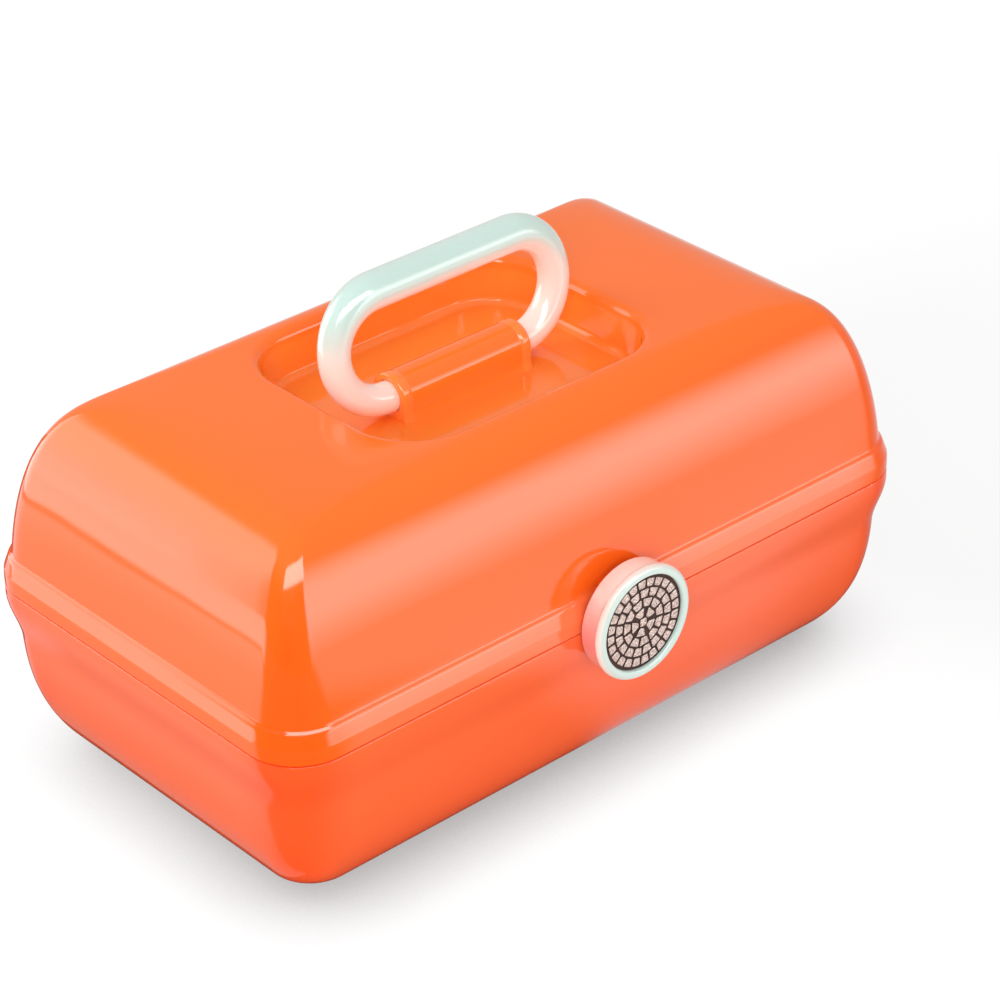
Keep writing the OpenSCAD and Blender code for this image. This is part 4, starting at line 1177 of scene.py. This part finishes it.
def latch_cup(centre, back, face, side, cavity, ceiling):
    """The latch body: a cup that faces back, with its hinge block and hook."""
    profile = [
        (0, ceiling), (cavity, ceiling), (cavity, back), (side - 0.6 * MM, back),
        (side, back - 0.6 * MM), (side, face), (0, face)
    ]
    smooth = [tuple(p) for p in soften(profile, 0.35 * MM)]
    body = Moulding()
    body.turn(smooth, centre, (0, 1, 0), 96)
    y, z = latch_pivot()
    radius = fittings.ear_radius
    root = face + 0.6 * MM
    block = arc((y, z), radius, -90, 90, 20) + [(root, z + radius), (root, z - radius)]
    hole = bore_hole((y, z), fittings.latch_pin)
    half = fittings.block_width / 2
    body.prism(block, -half, half, [hole], 0.2 * MM)
    top = sizes.base_height - fittings.keeper_drop - sizes.seam_gap
    thick = fittings.hook_thickness
    hook = [
        (root, top - thick), (back - 0.8 * MM, top - thick * 0.6), (back - 0.2 * MM, top),
        (root, top)
    ]
    body.prism(hook, -fittings.hook_width / 2, fittings.hook_width / 2, edge=0.2 * MM)
    finish = pearl_finish("pearl_latch", colours.pearl_pink, colours.pearl_rose, cup_pink_and_bounce)
    body.piece("latch_cup", "latch", finish, ["latch_body"])


def latch_bezel(centre, back, front):
    """The bevelled ring that frames the stones."""
    outer = fittings.bezel_radius
    inner = outer - fittings.bezel_width
    profile = [
        (inner, back), (inner, front + 0.5 * MM), (inner + 0.4 * MM, front),
        (outer - 1.1 * MM, front), (outer - 0.3 * MM, front + 0.5 * MM), (outer, front + 1.2 * MM),
        (outer, back - 0.5 * MM), (outer - 0.5 * MM, back)
    ]
    smooth = [tuple(p) for p in soften(profile, 0.45 * MM, closed=True)]
    bezel = Moulding()
    bezel.turn(smooth, centre, (0, 1, 0), 128)
    finish = pearl_finish("pearl_bezel", colours.pearl_mint, colours.pearl_pink, bezel_pink_and_bounce)
    bezel.piece("bezel_hoop", "latch", finish, ["bezel_ring"])


class CASE_OT_latch(bpy.types.Operator):
    """Make the round latch with its hinge block and hook, and the bezel ring."""

    bl_idname = "makeup_case.latch"
    bl_label = "Make the latch"

    def execute(self, context):
        centre = (0, 0, latch_height())
        back = -sizes.case_depth / 2 - fittings.latch_standoff
        face = latch_face()
        front = face - fittings.seat_gap - fittings.bezel_thickness
        side = fittings.bezel_radius - fittings.bezel_step
        cavity = side - fittings.latch_wall
        ceiling = face + LATCH_PLATE
        latch_cup(centre, back, face, side, cavity, ceiling)
        latch_bezel(centre, face - fittings.seat_gap, front)
        return {"FINISHED"}


def stone_outline(near, far, half, cut):
    """Outline of a stone with cut corners."""
    return [
        (near - cut, -half), (near, cut - half), (far, half - cut), (far - cut, half),
        (cut - far, half), (-far, half - cut), (-near, cut - half), (cut - near, -half)
    ]


def stone(stones, near, far, half, place, turn):
    """One stone with a girdle, two rows of crown facets and a table."""
    height = fittings.stone_height
    cut = half * 0.24
    girdle = stone_outline(near, far, half, cut)
    middle = [
        ((a[0] + b[0]) / 2, (a[1] + b[1]) / 2) for a, b in zip(girdle, girdle[1:] + girdle[:1])
    ]
    lift = [0.0, 0.1, 0.28, 0.38]
    scale = [0.97, 0.97, 0.86, 0.70]
    outlines = [girdle, girdle, middle, girdle]
    cells = []
    for share, size, points in zip(lift, scale, outlines):
        ring = []
        for x, y in points:
            flat = Vector((x * size, y * size + place, 0))
            flat.rotate(Matrix.Rotation(turn, 3, "Z"))
            ring.append(stones.form.verts.new((flat.x, -height * share, flat.y)))
        cells.append(ring)
    faces = stones.form.faces
    low, belt, crown, table = cells
    for i in range(len(low)):
        k = (i + 1) % len(low)
        faces.new((low[i], low[k], belt[k], belt[i]))
        faces.new((belt[i], belt[k], crown[i]))
        faces.new((crown[i], belt[k], crown[k]))
        faces.new((crown[i], crown[k], table[k]))
        faces.new((crown[i], table[k], table[i]))
    faces.new(low[::-1])
    faces.new(table)


class CASE_OT_stones(bpy.types.Operator):
    """Make the dark disc's finish and the rows of cut stones on it."""

    bl_idname = "makeup_case.stones"
    bl_label = "Set the stones"

    def execute(self, context):
        half = (fittings.stone_pitch - fittings.stone_gap) / 2
        stones = Moulding()
        stone(stones, half, half, half, 0.0, 0.0)
        for row in range(1, fittings.stone_rows + 1):
            total = int(2 * pi * row - 1)
            reach = row * fittings.stone_pitch
            near = pi * (reach - half) / total - fittings.stone_gap / 2
            far = pi * (reach + half) / total - fittings.stone_gap / 2
            far = min(far, half * WIDEST_STONE)
            for i in range(total):
                turn = 2 * pi * (i + row * RING_TWIST) / total
                stone(stones, near, far, half, reach, turn)
        place = (0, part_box("crystals")[1][1], latch_height())
        bmesh.ops.translate(stones.form, vec=place, verts=stones.form.verts)
        stones.piece("cut_stones", "latch", stone_finish(), ["crystals"], crease=5)
        dress(disc_finish(), "jewel_disc")
        return {"FINISHED"}


class CASE_OT_tray(bpy.types.Operator):
    """Finish the tray, its brackets, its link arms and their rivets."""

    bl_idname = "makeup_case.tray"
    bl_label = "Finish the tray and its linkage"

    def execute(self, context):
        dress(satin_finish("tray_cream", colours.tray_cream, 0.32), "tray")
        clear = coral_finish("bracket_orange", base_shade)
        dress(clear, "lid_bracket_left", "lid_bracket_right")
        arms = steel_finish("steel_arms", (900, 90, 900))
        dress(arms, "link_arm_left", "link_arm_right")
        rivets = steel_finish("steel_rivets", (900, 900, 900))
        dress(rivets, "tray_rivets", "arm_tray_rivets", "arm_base_rivets")
        return {"FINISHED"}


class CASE_OT_mirror(bpy.types.Operator):
    """Finish the mirror in the lid, its frame and its screws."""

    bl_idname = "makeup_case.mirror"
    bl_label = "Finish the mirror"

    def execute(self, context):
        dress(satin_finish("frame_cream", colours.frame_cream, 0.28), "mirror_frame")
        dress(mirror_finish(), "mirror_glass")
        dress(steel_finish("steel_screws", (700, 700, 1600)), "mirror_screws")
        return {"FINISHED"}


class CASE_OT_pins(bpy.types.Operator):
    """Finish the hinge pins and the latch pin."""

    bl_idname = "makeup_case.pins"
    bl_label = "Finish the pins"

    def execute(self, context):
        steel = steel_finish("steel_pins", (60, 1400, 1400))
        dress(steel, "hinge_pin_left", "hinge_pin_right", "latch_pin")
        return {"FINISHED"}


# ---- studio ----


def staged(name, form, material):
    """Put a form in the scene as part of the studio."""
    mesh = bpy.data.meshes.new(name)
    form.to_mesh(mesh)
    form.free()
    mesh.materials.append(material)
    made = put(name, mesh)
    return made


def studio_floor():
    """A wide pale floor that shows the case's shadow and glows softly in its gloss."""
    form = bmesh.new()
    bmesh.ops.create_grid(form, x_segments=8, y_segments=8, size=2.5)
    paint = Paint("floor_white")
    tone = paint.noise(3, 2.0).smooth(0.2, 0.8)
    plain = tone.mix((0.87, 0.87, 0.87), (0.85, 0.85, 0.85))
    matt = paint.node("ShaderNodeBsdfDiffuse", values={"Color": plain})
    seen = paint.node("ShaderNodeBsdfDiffuse", values={"Color": (0.07, 0.07, 0.07)})
    shaded = paint.glow(floor_shade(paint), 1.0)
    straight = paint.node("ShaderNodeAddShader", values={0: seen, 1: shaded})
    sheen = paint.glow(floor_light(paint))
    camera_ray = paint.node("ShaderNodeLightPath", out="Is Camera Ray")
    glossy_ray = paint.node("ShaderNodeLightPath", out="Is Glossy Ray")
    mixed = paint.node("ShaderNodeMixShader", values={0: camera_ray, 1: matt, 2: straight})
    mixed = paint.node("ShaderNodeMixShader", values={0: glossy_ray, 1: mixed, 2: sheen})
    paint.node("ShaderNodeOutputMaterial", values={"Surface": mixed})
    made = staged("studio_floor", form, paint.material)
    drop = 0.2 * MM
    made.location = (0, 0, -drop)


def floor_shade(paint):
    """How brightly the floor shows straight on, with a soft grey shade around the case."""
    x, y, _ = paint.axes()
    open_sky = paint.node("ShaderNodeAmbientOcclusion", {"samples": 5}, {"Distance": 0.03}, out=1)
    shade = 1 - open_sky.smooth(0.15, 0.95)
    lee = 0.75 + 0.25 * (0.5 * x - y).smooth(-0.1, 0.06)
    side = (x + 0.4 * y).smooth(0.02, 0.14) * (1 - y.smooth(0.05, 0.2))
    broad = side * (1 - x.smooth(0.2, 0.6)) * 0.09
    return 0.97 * (1 - 0.58 * shade ** 1.5 * lee) * (1 - broad)


def floor_light(paint):
    """How brightly the floor shows in the gloss, dim close to the case."""
    x, y, _ = paint.axes()
    turn = paint.math("ARCTAN2", x, -y)
    out_x = abs(x) - sizes.case_length / 2
    out_y = abs(y) - sizes.case_depth / 2
    out = paint.math("MAXIMUM", out_x, out_y)
    near = 0.26 + out.smooth(0.0, 0.03) * 0.3 + out.smooth(0.02, 0.12) * 0.44
    wave = out + (paint.noise(6, 2.0) - 0.5) * 0.12
    line = wave.smooth(0.26, 0.28) * (1 - wave.smooth(0.30, 0.315))
    far = (1 + wave.smooth(0.30, 0.33) * 0.75) * (1 - 0.75 * line)
    corner_x = x + sizes.case_length / 2 - 12 * MM
    corner_y = y + sizes.case_depth / 2 - 12 * MM
    turn_left = paint.math("ARCTAN2", corner_x, -corner_y)
    left = band(turn_left, -195, -120, 14) * (1.1 + out.smooth(0.1, 0.3)) * far
    front = band(turn, 8, 52, 20) * 1.6
    rest = 0.15 + turn.smooth(radians(50), radians(90)) * 0.7
    return (left + front + rest) * near


def studio_tent():
    """A round tent that only reflections show, with its soft boxes and its dark side."""
    form = bmesh.new()
    bmesh.ops.create_uvsphere(form, u_segments=48, v_segments=24, radius=1.4)
    low = [v for v in form.verts if v.co.z < -0.01]
    bmesh.ops.delete(form, geom=low, context="VERTS")
    paint = Paint("tent_cloth")
    x, y, z = paint.axes()
    turn = paint.math("ARCTAN2", x, -y)
    rise = paint.math("ARCTAN2", z, (x * x + y * y) ** 0.5)
    left = band(turn, -172, -128, 6) * band(rise, -30, 42, 8) * (3.7 - rise * 1.3)
    edge = (turn - rise * 0.5).smooth(radians(-2), radians(10))
    edge *= 1 - turn.smooth(radians(46), radians(58))
    front = edge * band(rise + turn * 0.5, -30, 42, 20)
    front *= 1.2 + 3.6 * rise.smooth(radians(-3), radians(13))
    dark = band(turn, -122, 14, 10) * band(rise, -60, 40, 30)
    level = rise + (turn + 0.6) ** 2 * 0.22
    glint = band(turn, -68, 24, 6) * band(level, 42, 61, 4) * 10.0
    back = 0.6 * (1 - dark)
    weave = paint.noise(9, 2.0).smooth(0.2, 0.8) * 0.06 + 0.97
    paint.node(
        "ShaderNodeOutputMaterial",
        values={"Surface": paint.glow((left + front + glint + back + 0.05) * weave)}
    )
    made = staged("studio_tent", form, paint.material)
    made.visible_camera = False
    made.visible_diffuse = False
    made.visible_transmission = False
    made.visible_shadow = False


def studio_lamp(name, place, aim, width, height, power):
    """A soft box at a place, turned toward its aim."""
    light = bpy.data.lights.new(name, "AREA")
    light.shape = "RECTANGLE"
    light.size = width
    light.size_y = height
    light.energy = power
    made = put(name, light)
    made.location = place
    made.visible_glossy = False
    direction = Vector(aim) - Vector(place)
    made.rotation_euler = direction.to_track_quat("-Z", "Y").to_euler()


def studio_air():
    """A white background for what is seen straight on, and a soft fill for the rest."""
    world = bpy.data.worlds.new("studio_air")
    bpy.context.scene.world = world
    air = Tree(world)
    seen = air.node("ShaderNodeLightPath", out="Is Camera Ray")
    seen += air.node("ShaderNodeLightPath", out="Is Glossy Ray")
    seen += air.node("ShaderNodeLightPath", out="Is Transmission Ray")
    white = (1.0, 1.0, 1.0)
    fill = air.node("ShaderNodeBackground", values={"Color": white, "Strength": 0.74})
    plain = air.node("ShaderNodeBackground", values={"Color": white, "Strength": 1.0})
    both = air.node("ShaderNodeMixShader", values={0: seen, 1: fill, 2: plain})
    air.node("ShaderNodeOutputWorld", values={"Surface": both})


def studio_camera():
    """The camera, in front of the left end and a little above the case."""
    azimuth = radians(-41.547)
    elevation = radians(30.925)
    roll = radians(-0.929)
    back = Vector((sin(azimuth) * cos(elevation), -cos(azimuth) * cos(elevation), sin(elevation)))
    right = (-back).cross(Vector((0, 0, 1))).normalized()
    up = right.cross(-back)
    side = right * cos(roll) + up * sin(roll)
    top = up * cos(roll) - right * sin(roll)
    lens = bpy.data.cameras.new("studio_camera")
    lens.sensor_width = 36
    lens.lens = 122.18
    made = put("studio_camera", lens)
    turned = Matrix((side, top, back)).transposed().to_4x4()
    made.matrix_world = Matrix.Translation((-0.55697, -0.64796, 0.57593)) @ turned
    bpy.context.scene.camera = made


class CASE_OT_studio(bpy.types.Operator):
    """Make the pale floor, the soft lamps, the background and the camera."""

    bl_idname = "makeup_case.studio"
    bl_label = "Set up the studio"

    def execute(self, context):
        studio_floor()
        studio_air()
        studio_tent()
        studio_lamp("key_softbox", (-0.62, 0.80, 1.0), (0, 0, 0.05), 0.7, 0.7, 5.0)
        studio_lamp("fill_softbox", (-0.80, -0.90, 0.6), (0, 0, 0.06), 0.9, 0.6, 7.5)
        studio_camera()
        context.scene.view_settings.view_transform = "Standard"
        return {"FINISHED"}


class CASE_PT_panel(bpy.types.Panel):
    """Makeup case tools."""

    bl_idname = "CASE_PT_panel"
    bl_label = "Makeup case"
    bl_space_type = "VIEW_3D"
    bl_region_type = "UI"
    bl_category = "Makeup case"

    def draw(self, context):
        for operator in OPERATORS:
            self.layout.operator(operator.bl_idname)
        for kept, group in GROUPS.items():
            box = self.layout.box()
            for name in group.__annotations__:
                box.prop(getattr(context.scene, kept), name)


OPERATORS = (
    CASE_OT_lid, CASE_OT_barrel, CASE_OT_base, CASE_OT_handle, CASE_OT_latch, CASE_OT_stones,
    CASE_OT_tray, CASE_OT_mirror, CASE_OT_pins, CASE_OT_studio
)
GROUPS = {"case_sizes": CaseSizes, "fitting_sizes": FittingSizes, "case_colours": CaseColours}
CLASSES = (*GROUPS.values(), *OPERATORS, CASE_PT_panel)


def register():
    """Register the classes and keep the sizes and colours on the scene."""
    for made in CLASSES:
        bpy.utils.register_class(made)
    for kept, group in GROUPS.items():
        setattr(bpy.types.Scene, kept, bpy.props.PointerProperty(type=group))


def unregister():
    """Remove the sizes, the colours and the classes again."""
    for kept in reversed(GROUPS):
        delattr(bpy.types.Scene, kept)
    for made in reversed(CLASSES):
        bpy.utils.unregister_class(made)


def main():
    """Build the whole case."""
    register()
    bpy.ops.makeup_case.lid()
    bpy.ops.makeup_case.barrel()
    bpy.ops.makeup_case.base()
    bpy.ops.makeup_case.handle()
    bpy.ops.makeup_case.latch()
    bpy.ops.makeup_case.stones()
    bpy.ops.makeup_case.tray()
    bpy.ops.makeup_case.mirror()
    bpy.ops.makeup_case.pins()
    bpy.ops.makeup_case.studio()


if __name__ == "__main__":
    main()
